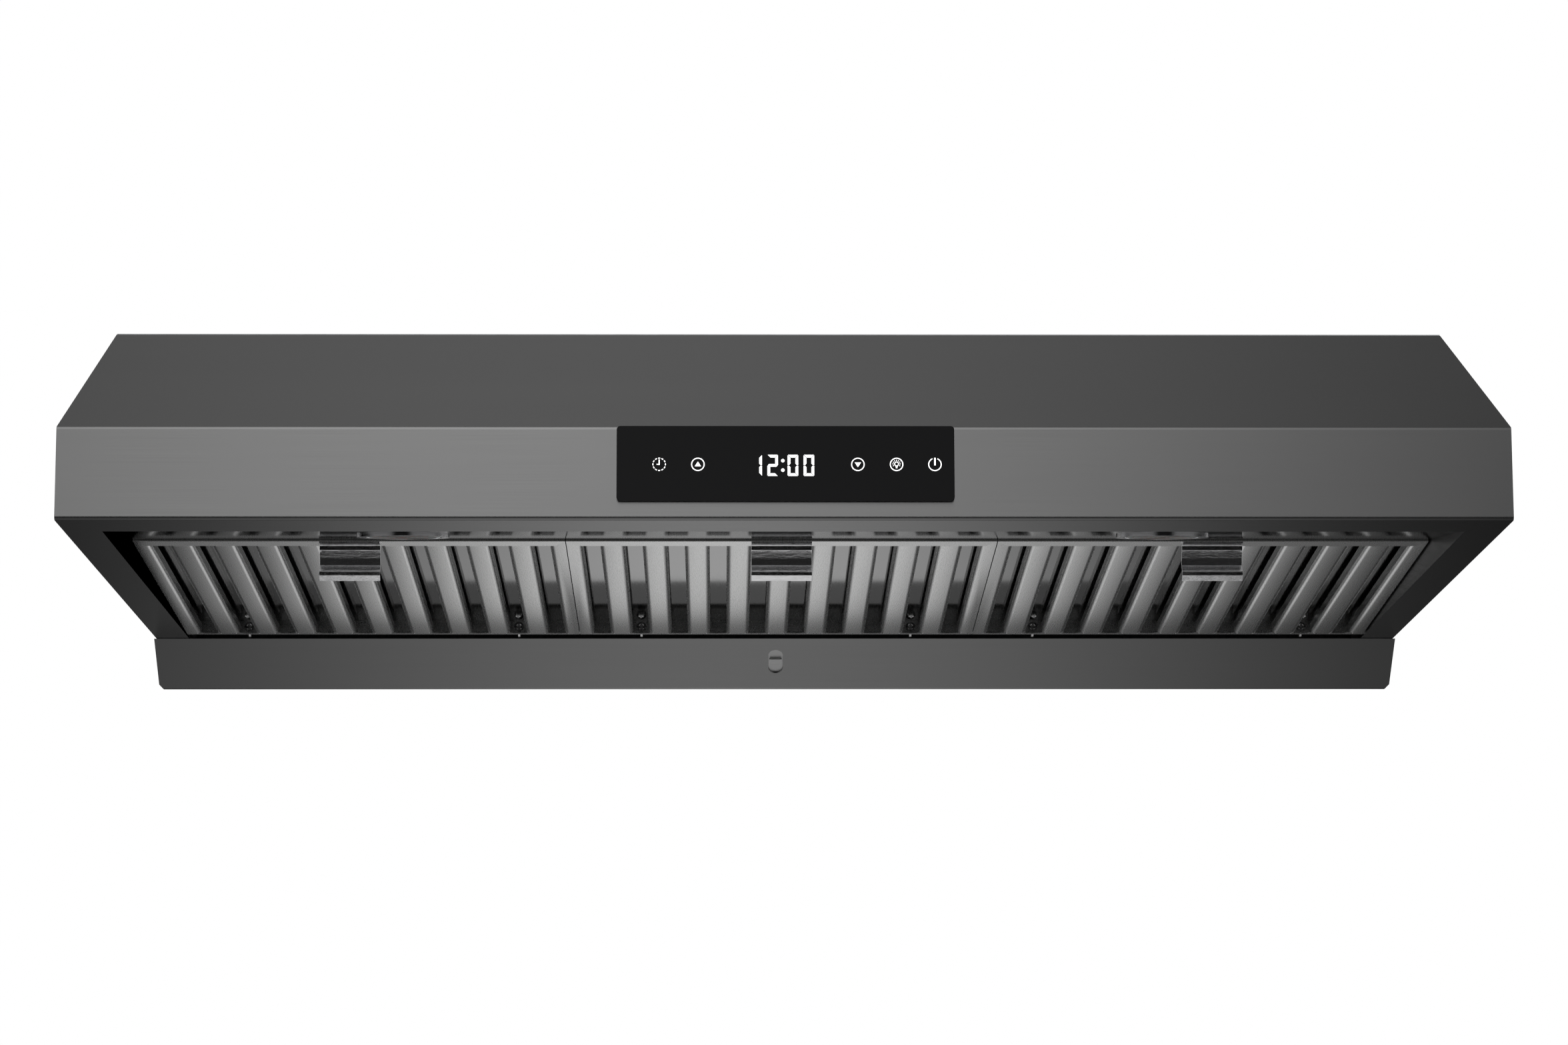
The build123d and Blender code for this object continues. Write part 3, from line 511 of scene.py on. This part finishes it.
def round_the_ring(tree, shape, count, radius, start=0.0):
    """Copies of a shape on a circle, each turned to face outwards."""
    points = step(tree, "GeometryNodePoints", Count=count)
    share = figure(tree, "DIVIDE", step(tree, "GeometryNodeInputIndex"), count)
    angle = figure(tree, "ADD", figure(tree, "MULTIPLY", share, 2 * math.pi), start)
    x = figure(tree, "MULTIPLY", figure(tree, "COSINE", angle), radius)
    y = figure(tree, "MULTIPLY", figure(tree, "SINE", angle), radius)
    placed = step(tree, "GeometryNodeSetPosition", Geometry=points, Position=vector(tree, x, y))
    turned = step(tree, "FunctionNodeEulerToRotation", Euler=vector(tree, z=angle))
    return step(
        tree, "GeometryNodeInstanceOnPoints", Points=placed, Instance=shape, Rotation=turned
    )


def close_tree(tree, sizes, geometry):
    """Realize the copies, give them their finish and end the tree."""
    real = step(tree, "GeometryNodeRealizeInstances", Geometry=geometry)
    finished = step(tree, "GeometryNodeSetMaterial", Geometry=real, Material=sizes["Finish"])
    tree.links.new(finished, tree.nodes.new("NodeGroupOutput").inputs["Geometry"])
    return tree


def grow(name, tree, finish, place, body, stands_for=(), slot=None, smooth=28.0, **values):
    """Run a tree once and keep its result as a plain mesh that rides on a body."""
    piece = bpy.data.objects.new(name, bpy.data.meshes.new(name))
    bpy.context.scene.collection.objects.link(piece)
    modifier = piece.modifiers.new("grow", "NODES")
    modifier.node_group = tree
    sockets = {s.name: s.identifier for s in tree.interface.items_tree if s.in_out == "INPUT"}
    modifier[sockets["Finish"]] = finish
    for label, value in values.items():
        modifier[sockets[label.replace("_", " ")]] = value
    bpy.context.view_layer.update()
    evaluated = piece.evaluated_get(bpy.context.evaluated_depsgraph_get())
    mesh = bpy.data.meshes.new_from_object(evaluated)
    piece.modifiers.remove(modifier)
    mesh.transform(place)
    mesh.shade_smooth()
    mesh.set_sharp_from_angle(angle=math.radians(smooth))
    piece.data = mesh
    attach(piece, body)
    if stands_for:
        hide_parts(*stands_for)
    print(name, len(mesh.polygons), "faces")
    return piece


# %% [markdown]
# ## The blower wheels
# A squirrel-cage wheel is a back plate, a hub and a ring, with three dozen thin blades curved
# like scoops between them. A blade is a short arc swept by a tall thin rectangle, so it comes
# out solid, and one line of nodes stands all of them round the rim.


# %% Grow the wheels
BACK_PLATE = 1.2 * MM
HUB_RADIUS, HUB_LENGTH = 11.0 * MM, 18.0 * MM
RIM_WIDTH, RIM_HEIGHT = 9.0 * MM, 2.0 * MM
BLADE_INSET, BLADE_SHORT = 5.6 * MM, 1.0 * MM
BLADE_ANGLE = math.radians(52)


def wheel_tree():
    """The whole wheel, standing on Z = 0, for a hood's blower."""
    tree, size = start_tree(
        "blower_wheel", Blades=40, Radius=85.0 * MM, Height=62.0 * MM, Bore=4.0 * MM,
        Blade_Curve=10.5 * MM, Blade_Sweep=0.9, Blade_Lean=1.0, Sheet=0.8 * MM,
    )
    arc_path = step(
        tree, "GeometryNodeCurveArc", {"mode": "RADIUS"}, Resolution=7,
        Radius=size["Blade Curve"], Sweep_Angle=size["Blade Sweep"],
        Start_Angle=figure(tree, "MULTIPLY", size["Blade Sweep"], -0.5),
    )
    tall = figure(tree, "SUBTRACT", size["Height"], BLADE_SHORT)
    section = step(
        tree, "GeometryNodeCurvePrimitiveQuadrilateral", Width=size["Sheet"], Height=tall
    )
    blade = step(
        tree, "GeometryNodeCurveToMesh", Curve=arc_path, Profile_Curve=section, Fill_Caps=True
    )
    back = figure(tree, "MULTIPLY", size["Blade Curve"], -1.0)
    blade = moved(tree, blade, x=back)
    lean = vector(tree, z=figure(tree, "MULTIPLY", size["Blade Lean"], BLADE_ANGLE))
    blade = step(tree, "GeometryNodeTransform", Geometry=blade, Rotation=lean)
    on_rim = figure(tree, "SUBTRACT", size["Radius"], BLADE_INSET)
    blades = round_the_ring(tree, blade, size["Blades"], on_rim)
    half = figure(tree, "MULTIPLY", size["Height"], 0.5)
    blades = moved(tree, blades, z=half)
    plate = hoop(tree, size["Bore"], size["Radius"], BACK_PLATE)
    plate = moved(tree, plate, z=figure(tree, "SUBTRACT", size["Height"], BACK_PLATE / 2))
    hub = hoop(tree, size["Bore"], HUB_RADIUS, HUB_LENGTH, 48)
    hub = moved(tree, hub, z=figure(tree, "SUBTRACT", size["Height"], HUB_LENGTH / 2))
    rim_bore = figure(tree, "SUBTRACT", size["Radius"], RIM_WIDTH)
    rim = hoop(tree, rim_bore, size["Radius"], RIM_HEIGHT)
    rim = moved(tree, rim, z=RIM_HEIGHT / 2)
    return close_tree(tree, size, joined(tree, blades, plate, hub, rim))


WHEEL_TREE = wheel_tree()
for side, lean in (("left", -1.0), ("right", 1.0)):
    low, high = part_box(f"blower_wheel_{side}")
    foot = Matrix.Translation(((low.x + high.x) / 2, (low.y + high.y) / 2, low.z))
    grow(
        f"wheel_of_blades_{side}", WHEEL_TREE, GALVANISED, foot, f"wheel_{side}",
        stands_for=(f"blower_wheel_{side}",), slot="wheel_steel",
        Radius=(high.x - low.x) / 2, Height=high.z - low.z, Blade_Lean=lean,
    )

# %% [markdown]
# ## Screws and rivets
# A pan-head screw is a low dome with a cross cut into it. The cut is a boolean on one screw,
# made before the copies, so it costs almost nothing. The rivets of the filters are eyelets:
# a low cone, a rolled ring and a punched middle.


# %% One screw and its patterns
HEAD_FLATNESS = 0.62


def screw_shape(tree, head, shank, length):
    """A pan-head screw: the underside of its head at Z = 0 and its shank below."""
    ball = step(tree, "GeometryNodeMeshUVSphere", Segments=24, Rings=14, Radius=head)
    dome = step(tree, "GeometryNodeTransform", Geometry=ball, Scale=(1.0, 1.0, HEAD_FLATNESS))
    width = figure(tree, "MULTIPLY", head, 3.0)
    below = step(tree, "GeometryNodeMeshCube", Size=vector(tree, width, width, width))
    under = moved(tree, below, z=figure(tree, "MULTIPLY", width, -0.5))
    long, thin = figure(tree, "MULTIPLY", head, 1.15), figure(tree, "MULTIPLY", head, 0.2)
    slots = [
        moved(tree, step(tree, "GeometryNodeMeshCube", Size=vector(tree, x, y, head)), z=head)
        for x, y in ((long, thin), (thin, long))
    ]
    for shape in (under, *slots):
        cut = tree.nodes.new("GeometryNodeMeshBoolean")
        cut.operation, cut.solver = "DIFFERENCE", "EXACT"
        tree.links.new(dome, cut.inputs["Mesh 1"])
        tree.links.new(shape, cut.inputs["Mesh 2"])
        dome = cut.outputs["Mesh"]
    pin = step(tree, "GeometryNodeMeshCylinder", Vertices=16, Radius=shank, Depth=length)
    pin = moved(tree, pin, z=figure(tree, "MULTIPLY", length, -0.499))
    return joined(tree, dome, pin)


def screw_ring_tree():
    """Screws round a circle, heads up."""
    tree, size = start_tree("screws_in_a_ring", Count=6, Circle=81.0 * MM, Start=0.3,
                            Head=3.8 * MM, Shank=1.9 * MM, Length=4.0 * MM)
    one = screw_shape(tree, size["Head"], size["Shank"], size["Length"])
    ring = round_the_ring(tree, one, size["Count"], size["Circle"], size["Start"])
    return close_tree(tree, size, ring)


def screw_corners_tree():
    """Screws at the corners of a rectangle, heads up."""
    tree, size = start_tree("screws_at_corners", Across=0.1, Along=0.1,
                            Head=3.8 * MM, Shank=1.9 * MM, Length=4.0 * MM)
    one = screw_shape(tree, size["Head"], size["Shank"], size["Length"])
    grid = step(tree, "GeometryNodeMeshGrid", Size_X=size["Across"], Size_Y=size["Along"],
                Vertices_X=2, Vertices_Y=2)
    screws = step(tree, "GeometryNodeInstanceOnPoints", Points=grid, Instance=one)
    return close_tree(tree, size, screws)


SCREW_RING, SCREW_CORNERS = screw_ring_tree(), screw_corners_tree()
HEAD_HEIGHT = 2.2 * MM
HEAD_WIDTH = 7.6 * MM
MOTOR_SCREW_CIRCLE = 56.0 * MM


def centre_of(node):
    """The middle of a node's box at rest."""
    low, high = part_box(node)
    return (low + high) / 2


collar_middle = centre_of("duct_collar")
collar_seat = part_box("collar_screws")[1].z - HEAD_HEIGHT
grow("collar_screw_heads", SCREW_RING, ZINC,
     Matrix.Translation((collar_middle.x, collar_middle.y, collar_seat)), "canopy",
     stands_for=("collar_screws",), slot="zinc_screws", Length=5.0 * MM)

motor_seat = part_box("motor_screws")[1].z - HEAD_HEIGHT
for side in SIDES:
    middle = centre_of(f"motor_{side}")
    grow(f"motor_screw_heads_{side}", SCREW_RING, ZINC,
         Matrix.Translation((middle.x, middle.y, motor_seat)), "canopy",
         stands_for=("motor_screws",) if side == "left" else (), slot="zinc_screws",
         Count=3, Circle=MOTOR_SCREW_CIRCLE, Start=math.radians(60), Length=2.0 * MM)

low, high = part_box("cover_screws")
TO_THE_BACK = Matrix.Rotation(math.radians(90), 4, "X")
cover_seat = Vector(((low.x + high.x) / 2, low.y + HEAD_HEIGHT, (low.z + high.z) / 2))
grow("cover_screw_heads", SCREW_CORNERS, ZINC, Matrix.Translation(cover_seat) @ TO_THE_BACK,
     "canopy", stands_for=("cover_screws",), slot="zinc_screws", Length=2.0 * MM,
     Across=high.x - low.x - HEAD_WIDTH, Along=high.z - low.z - HEAD_WIDTH)

# %% Rivets
def rivet_tree():
    """Rows of eyelet rivets, heads up: a low cone, a rolled ring and a punched middle."""
    tree, size = start_tree("rows_of_rivets", Across=0.1, Along=0.1, Rows=2, Head=3.6 * MM)
    head = size["Head"]
    foot = figure(tree, "MULTIPLY", head, 0.25)
    cone = step(tree, "GeometryNodeMeshCone", Vertices=32, Depth=foot, Radius_Bottom=head,
                Radius_Top=figure(tree, "MULTIPLY", head, 0.78))
    path = step(tree, "GeometryNodeCurvePrimitiveCircle", Resolution=32,
                Radius=figure(tree, "MULTIPLY", head, 0.55))
    roll = step(tree, "GeometryNodeCurvePrimitiveCircle", Resolution=8,
                Radius=figure(tree, "MULTIPLY", head, 0.17))
    ring = step(tree, "GeometryNodeCurveToMesh", Curve=path, Profile_Curve=roll)
    one = joined(tree, cone, moved(tree, ring, z=foot))
    grid = step(tree, "GeometryNodeMeshGrid", Size_X=size["Across"], Size_Y=size["Along"],
                Vertices_X=2, Vertices_Y=size["Rows"])
    rivets = step(tree, "GeometryNodeInstanceOnPoints", Points=grid, Instance=one)
    return close_tree(tree, size, rivets)


RIVET_ROWS = rivet_tree()
FRAME_LENGTH = 321.0 * MM
FRAME_TILT = math.radians(2.97)
FRAME_EDGE_UP = 16.6 * MM
TIE_SPACING, TIE_HEIGHT, TIE_RIVET = 286.0 * MM, 11.2 * MM, 2.5 * MM
TIES_MIDDLE = 161.5 * MM
WALL_SHEET, WALL_RIVET_UP = 0.8 * MM, 6.6 * MM
RIVET_WIDTH = 7.2 * MM
HEAD_DOWN = Matrix.Rotation(math.pi, 4, "X")
for name in FILTERS:
    low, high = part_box(f"filter_rivets_{name}")
    front_edge = Vector(((low.x + high.x) / 2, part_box(f"filter_frame_{name}")[0].y,
                         BOTTOM_Z + FRAME_EDGE_UP))
    across = high.x - low.x - RIVET_WIDTH
    lie = Matrix.Translation(front_edge) @ Matrix.Rotation(-FRAME_TILT, 4, "X")
    ties = lie @ Matrix.Translation((0, TIES_MIDDLE, TIE_HEIGHT)) @ HEAD_DOWN
    grow(f"channel_rivets_{name}", RIVET_ROWS, BRIGHT_STEEL, ties, f"filter_{name}",
         stands_for=(f"filter_rivets_{name}",), slot="rivet_steel",
         Across=across, Along=TIE_SPACING, Head=TIE_RIVET)
    wall = Matrix.Translation((0, FRAME_LENGTH - WALL_SHEET, WALL_RIVET_UP)) @ TO_THE_BACK
    grow(f"ear_rivets_{name}", RIVET_ROWS, BRIGHT_STEEL, lie @ wall, f"filter_{name}",
         slot="rivet_steel", Across=across, Along=0.0, Rows=1)

# %% [markdown]
# ## The lamp lenses
# A lamp's lens has fine ridges in rings, which spread the light of the diodes behind it. Each
# ring is a circle of its own radius, so the tree scales copies of one circle by their number,
# and only then sweeps them with a round section, so that every ridge is equally thick.


# %% Grow the lens ridges
def ridge_tree():
    """Evenly spaced ring ridges round the middle of a lens, on its lower face."""
    tree, size = start_tree("lens_ridges", Rings=7, Spacing=3.1 * MM, Thickness=0.45 * MM)
    points = step(tree, "GeometryNodePoints", Count=size["Rings"])
    number = figure(tree, "ADD", step(tree, "GeometryNodeInputIndex"), 1.0)
    scale = figure(tree, "MULTIPLY", number, size["Spacing"])
    circle = step(tree, "GeometryNodeCurvePrimitiveCircle", Resolution=64, Radius=1.0)
    rings = step(tree, "GeometryNodeInstanceOnPoints", Points=points, Instance=circle,
                 Scale=vector(tree, scale, scale, scale))
    paths = step(tree, "GeometryNodeRealizeInstances", Geometry=rings)
    even = step(tree, "GeometryNodeSetCurveRadius", Curve=paths, Radius=1.0)
    section = step(
        tree, "GeometryNodeCurvePrimitiveCircle", Resolution=8, Radius=size["Thickness"]
    )
    ridges = step(tree, "GeometryNodeCurveToMesh", Curve=even, Profile_Curve=section)
    return close_tree(tree, size, ridges)


RIDGES = ridge_tree()
LENS_WIDTH, LENS_THICK = 49.0 * MM, 2.5 * MM
for side in SIDES:
    low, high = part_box(f"lamp_lens_{side}")
    slope = math.asin((high.z - low.z - 0.99 * LENS_THICK) / LENS_WIDTH)
    lie = Matrix.Translation((low + high) / 2) @ Matrix.Rotation(slope, 4, "X")
    face = lie @ Matrix.Translation((0, 0, -LENS_THICK / 2))
    grow(f"lens_ridges_{side}", RIDGES, FROSTED_LENS, face, "canopy", slot="lamp_lens")

# %% [markdown]
# ## The lit keys and the clock
# The marks are flat shapes that stand a hair in front of the glass. Each is drawn on a small
# sheet of its own, with across and up in millimetres, and then stood up on the glass. The
# digits are seven bars with mitred ends, as on any kitchen clock.

# %% A drawing board for flat marks
glass_low, glass_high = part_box("control_glass")
GLASS_MIDDLE = (glass_low + glass_high) / 2
MARK_LIFT = 0.05 * MM
MARK_DEPTH = 0.08 * MM


def mark(name, shapes, across, up):
    """A lit mark from closed outlines, each a list of (across, up) points in millimetres."""
    mesh = bmesh.new()
    for outline in shapes:
        rim = [mesh.verts.new((x * MM, 0, z * MM)) for x, z in outline]
        mesh.faces.new(rim)
    bmesh.ops.recalc_face_normals(mesh, faces=mesh.faces[:])
    for face in mesh.faces[:]:
        if face.normal.y > 0:
            face.normal_flip()
    front = mesh.faces[:]
    grown = bmesh.ops.extrude_face_region(mesh, geom=front)
    moved = [v for v in grown["geom"] if isinstance(v, bmesh.types.BMVert)]
    bmesh.ops.translate(mesh, verts=moved, vec=(0, -MARK_DEPTH, 0))
    bmesh.ops.recalc_face_normals(mesh, faces=mesh.faces[:])
    x, z = GLASS_MIDDLE.x + across * MM, GLASS_MIDDLE.z + up * MM
    bmesh.ops.translate(mesh, verts=mesh.verts[:], vec=(x, glass_low.y - MARK_LIFT, z))
    data = bpy.data.meshes.new(name)
    mesh.to_mesh(data)
    mesh.free()
    data.materials.append(LIT_PRINT)
    piece = bpy.data.objects.new(name, data)
    bpy.context.scene.collection.objects.link(piece)
    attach(piece, "canopy")
    return piece


def disc(radius, at=(0, 0), steps=24):
    """A filled circle."""
    turns = [2 * math.pi * i / steps for i in range(steps)]
    return [(at[0] + radius * math.cos(t), at[1] + radius * math.sin(t)) for t in turns]


def arc(radius, width, start, end, at=(0, 0)):
    """A stretch of ring between two angles in degrees, about 8 degrees a step."""
    steps = max(2, int(abs(end - start) / 8))
    turns = [math.radians(start + (end - start) * i / steps) for i in range(steps + 1)]
    outline = []
    for reach, order in ((radius + width / 2, turns), (radius - width / 2, turns[::-1])):
        outline += [(at[0] + reach * math.cos(t), at[1] + reach * math.sin(t)) for t in order]
    return outline


def circle_line(radius, width, at=(0, 0)):
    """A whole ring, as two halves so that each outline stays simple."""
    return [arc(radius, width, 0, 180, at), arc(radius, width, 180, 360, at)]


def bar(x0, z0, x1, z1, width):
    """A straight stroke with square ends."""
    along = Vector((x1 - x0, z1 - z0)).normalized() * width / 2
    across = Vector((-along.y, along.x))
    start, end = Vector((x0, z0)), Vector((x1, z1))
    return [tuple(p) for p in (start - across, end - across, end + across, start + across)]


# %% The five keys
KEY_R = 3.9
KEY_LINE = 0.62
KEY_UP = -0.65


def timer_mark():
    """A clock face drawn as twelve dashes, with two hands."""
    dashes = [arc(KEY_R, KEY_LINE, a - 9, a + 9) for a in range(0, 360, 30)]
    return dashes + [bar(0, -0.3, 0, 3.0, 0.7), bar(-1.6, 0, 0.3, 0, 0.6)]


def arrow_mark(way):
    """A ring round a filled triangle; way is 1 for up and -1 for down."""
    triangle = [(-2.0, -1.25 * way), (2.0, -1.25 * way), (0, 1.75 * way)]
    return circle_line(KEY_R, KEY_LINE) + [triangle]


def lamp_mark():
    """A ring round a small bulb with rays."""
    rays = []
    for a in range(-30, 211, 30):
        t = math.radians(a)
        c, s = math.cos(t), math.sin(t)
        rays.append(bar(1.9 * c, 0.3 + 1.9 * s, 2.6 * c, 0.3 + 2.6 * s, 0.42))
    bulb = circle_line(1.2, 0.5, (0, 0.3))
    cap = [bar(-0.7, -1.3, 0.7, -1.3, 0.6), bar(-0.5, -2.1, 0.5, -2.1, 0.6)]
    return circle_line(KEY_R, KEY_LINE) + rays + bulb + cap


def power_mark():
    """An open ring with an upright stroke."""
    return [arc(KEY_R, KEY_LINE, 113, 427), bar(0, -0.6, 0, 4.2, 1.0)]


KEYS = {
    "key_timer": (-78.7, timer_mark()),
    "key_up": (-54.6, arrow_mark(1)),
    "key_down": (45.0, arrow_mark(-1)),
    "key_lamp": (69.1, lamp_mark()),
    "key_power": (93.0, power_mark()),
}
for name, (across, shapes) in KEYS.items():
    mark(name, shapes, across, KEY_UP)

# %% The clock
DIGIT_W, DIGIT_H, STROKE, GAP = 6.6, 13.4, 1.75, 0.22
DIGIT_UP = -1.3
SEGMENTS = {"1": "bc", "2": "abged", "0": "abcdef"}


def level_segment(z, inward):
    """A level bar with mitred ends; inward says which side is shorter, 0 for both."""
    w, s, g = DIGIT_W / 2, STROKE, GAP
    if inward == 0:
        h = s / 2
        return [(-w + g + h, z + h), (-w + g, z), (-w + g + h, z - h),
                (w - g - h, z - h), (w - g, z), (w - g - h, z + h)]
    return [(-w + g, z), (w - g, z), (w - g - s, z - inward * s), (-w + g + s, z - inward * s)]


def upright_segment(x, way):
    """An upright bar from the middle to the top or bottom, mitred at its outer end."""
    h, s, g = DIGIT_H / 2, STROKE, GAP
    edge = s if x > 0 else -s
    return [(x, way * g), (x, way * (h - g)), (x - edge, way * (h - g - s)),
            (x - edge, way * (g + s / 2)), (x - edge / 2, way * g)]


def digit_shapes(digit):
    """The lit bars of one digit."""
    w, h = DIGIT_W / 2, DIGIT_H / 2
    bars = {
        "a": level_segment(h, 1), "d": level_segment(-h, -1), "g": level_segment(0, 0),
        "b": upright_segment(w, 1), "c": upright_segment(w, -1),
        "e": upright_segment(-w, -1), "f": upright_segment(-w, 1),
    }
    return [bars[s] for s in SEGMENTS[digit]]


CLOCK = (
    ("hour_tens", "1", -18.0), ("hour_ones", "2", -8.05),
    ("minute_tens", "0", 4.55), ("minute_ones", "0", 14.5),
)
DOT_RADIUS, DOT_UP, DOTS_ACROSS = 1.1, 3.0, -1.75
for name, digit, across in CLOCK:
    mark(f"clock_{name}", digit_shapes(digit), across, DIGIT_UP)
dots = [disc(DOT_RADIUS, (0, DOT_UP)), disc(DOT_RADIUS, (0, -DOT_UP))]
mark("clock_dots", dots, DOTS_ACROSS, DIGIT_UP)
print("keys:", len(KEYS), "clock digits:", len(CLOCK))

# %% [markdown]
# ## The studio
# The backdrop is white, but steel only shows what surrounds it. So the world is plain white
# for the camera, and a soft studio for reflections: bright behind the camera and a little to
# its left, darker to the right, dim behind the hood, with a pool of light on the table.
# Matt surfaces get an even light from everywhere, as a large soft box would give.

# %% World
world = bpy.data.worlds.new("studio")
bpy.context.scene.world = world
world.use_nodes = True
sky = world.node_tree
sky.nodes.clear()


def sky_math(operation, *values):
    """One Math node on the world's tree; numbers are set and sockets are linked."""
    node = sky.nodes.new("ShaderNodeMath")
    node.operation = operation
    for slot, value in enumerate(values):
        if isinstance(value, (int, float)):
            node.inputs[slot].default_value = value
        else:
            sky.links.new(value, node.inputs[slot])
    return node.outputs[0]


def falloff(value, centre, width):
    """A smooth bell over one coordinate: 1 at the centre."""
    away = sky_math("DIVIDE", sky_math("SUBTRACT", value, centre), width)
    return sky_math("EXPONENT", sky_math("MULTIPLY", sky_math("MULTIPLY", away, away), -1.0))


def step_up(value, low, high):
    """0 below low and 1 above high, smooth between."""
    node = sky.nodes.new("ShaderNodeMapRange")
    node.interpolation_type = "SMOOTHSTEP"
    set_inputs(node, From_Min=low, From_Max=high, To_Min=0.0, To_Max=1.0)
    sky.links.new(value, node.inputs["Value"])
    return node.outputs["Result"]


direction = sky.nodes.new("ShaderNodeTexCoord")
parts = sky.nodes.new("ShaderNodeSeparateXYZ")
sky.links.new(direction.outputs["Generated"], parts.inputs["Vector"])
to_x, to_y, to_z = parts.outputs


def product(first, *others):
    """Several zone masks multiplied together."""
    for other in others:
        first = sky_math("MULTIPLY", first, other)
    return first


def opposite(value):
    """1 where a mask is 0."""
    return sky_math("SUBTRACT", 1.0, value)


behind = step_up(to_y, -0.10, 0.10)
before = opposite(behind)
high = step_up(to_z, -0.06, 0.12)
overhead = step_up(to_z, 0.25, 0.60)
low = opposite(step_up(to_z, -0.12, 0.02))
down = opposite(step_up(to_z, -0.97, -0.60))
shallow = opposite(step_up(sky_math("ABSOLUTE", to_z), 0.20, 0.80))
aside = step_up(sky_math("ABSOLUTE", to_x), 0.25, 0.52)
well_aside = step_up(sky_math("ABSOLUTE", to_x), 0.30, 0.50)
level = opposite(step_up(sky_math("ABSOLUTE", to_z), 0.35, 0.60))
STUDIO = {
    "cook's side": (1.72, product(before, high, falloff(to_x, -0.05, 0.20))),
    "ceiling": (0.29, product(behind, overhead, falloff(to_x, -0.03, 0.22))),
    "wall": (0.80, product(behind, low, shallow, falloff(to_x, 0.0, 0.085))),
    "counter": (0.72, product(down, falloff(to_x, 0.0, 0.11))),
    "sides": (0.60, aside),
    "counter round": (0.03, down),
    "room at the back": (0.85, product(step_up(to_y, 0.20, 0.55), level, well_aside)),
}
light = sky_math("ADD", 0.018, 0.0)
for strength, zone in STUDIO.values():
    light = sky_math("ADD", light, sky_math("MULTIPLY", zone, strength))
ray = sky.nodes.new("ShaderNodeLightPath")
light = sky_math("ADD", light, sky_math("MULTIPLY", ray.outputs["Is Diffuse Ray"], 0.85))
studio = sky.nodes.new("ShaderNodeBackground")
sky.links.new(light, studio.inputs["Strength"])
backdrop = sky.nodes.new("ShaderNodeBackground")
set_inputs(backdrop, Color=(1, 1, 1, 1), Strength=1.0)
choose = sky.nodes.new("ShaderNodeMixShader")
sky.links.new(ray.outputs["Is Camera Ray"], choose.inputs["Fac"])
sky.links.new(studio.outputs["Background"], choose.inputs[1])
sky.links.new(backdrop.outputs["Background"], choose.inputs[2])
world_out = sky.nodes.new("ShaderNodeOutputWorld")
sky.links.new(choose.outputs["Shader"], world_out.inputs["Surface"])
bpy.context.scene.view_settings.view_transform = "Standard"

# %% [markdown]
# ## The floor
# A pale floor lies well below the hood, as the counter and floor of a kitchen would. It is
# one-sided: from above it is a matt white sheet, and from below it lets the view through, so
# a camera that looks up at the filters is never blocked by it.

# %% Floor
FLOOR_Z = BOTTOM_Z - 0.95
FLOOR_REACH = 12.0
floor_mesh = bpy.data.meshes.new("floor")
corners = [(-FLOOR_REACH, -FLOOR_REACH), (FLOOR_REACH, -FLOOR_REACH), (FLOOR_REACH, FLOOR_REACH),
           (-FLOOR_REACH, FLOOR_REACH)]
floor_mesh.from_pydata([(x, y, FLOOR_Z) for x, y in corners], [], [(0, 1, 2, 3)])
floor = bpy.data.objects.new("floor", floor_mesh)
bpy.context.scene.collection.objects.link(floor)
floor_paint, floor_tree, floor_shader = new_material("pale_floor")
set_inputs(floor_shader, Base_Color=(0.82, 0.82, 0.82, 1), Roughness=0.9)
clear = floor_tree.nodes.new("ShaderNodeBsdfTransparent")
side_of = floor_tree.nodes.new("ShaderNodeNewGeometry")
mix = floor_tree.nodes.new("ShaderNodeMixShader")
floor_out = next(n for n in floor_tree.nodes if n.type == "OUTPUT_MATERIAL")
floor_tree.links.new(side_of.outputs["Backfacing"], mix.inputs["Fac"])
floor_tree.links.new(floor_shader.outputs["BSDF"], mix.inputs[1])
floor_tree.links.new(clear.outputs["BSDF"], mix.inputs[2])
floor_tree.links.new(mix.outputs["Shader"], floor_out.inputs["Surface"])
floor_mesh.materials.append(floor_paint)
floor.visible_glossy = False
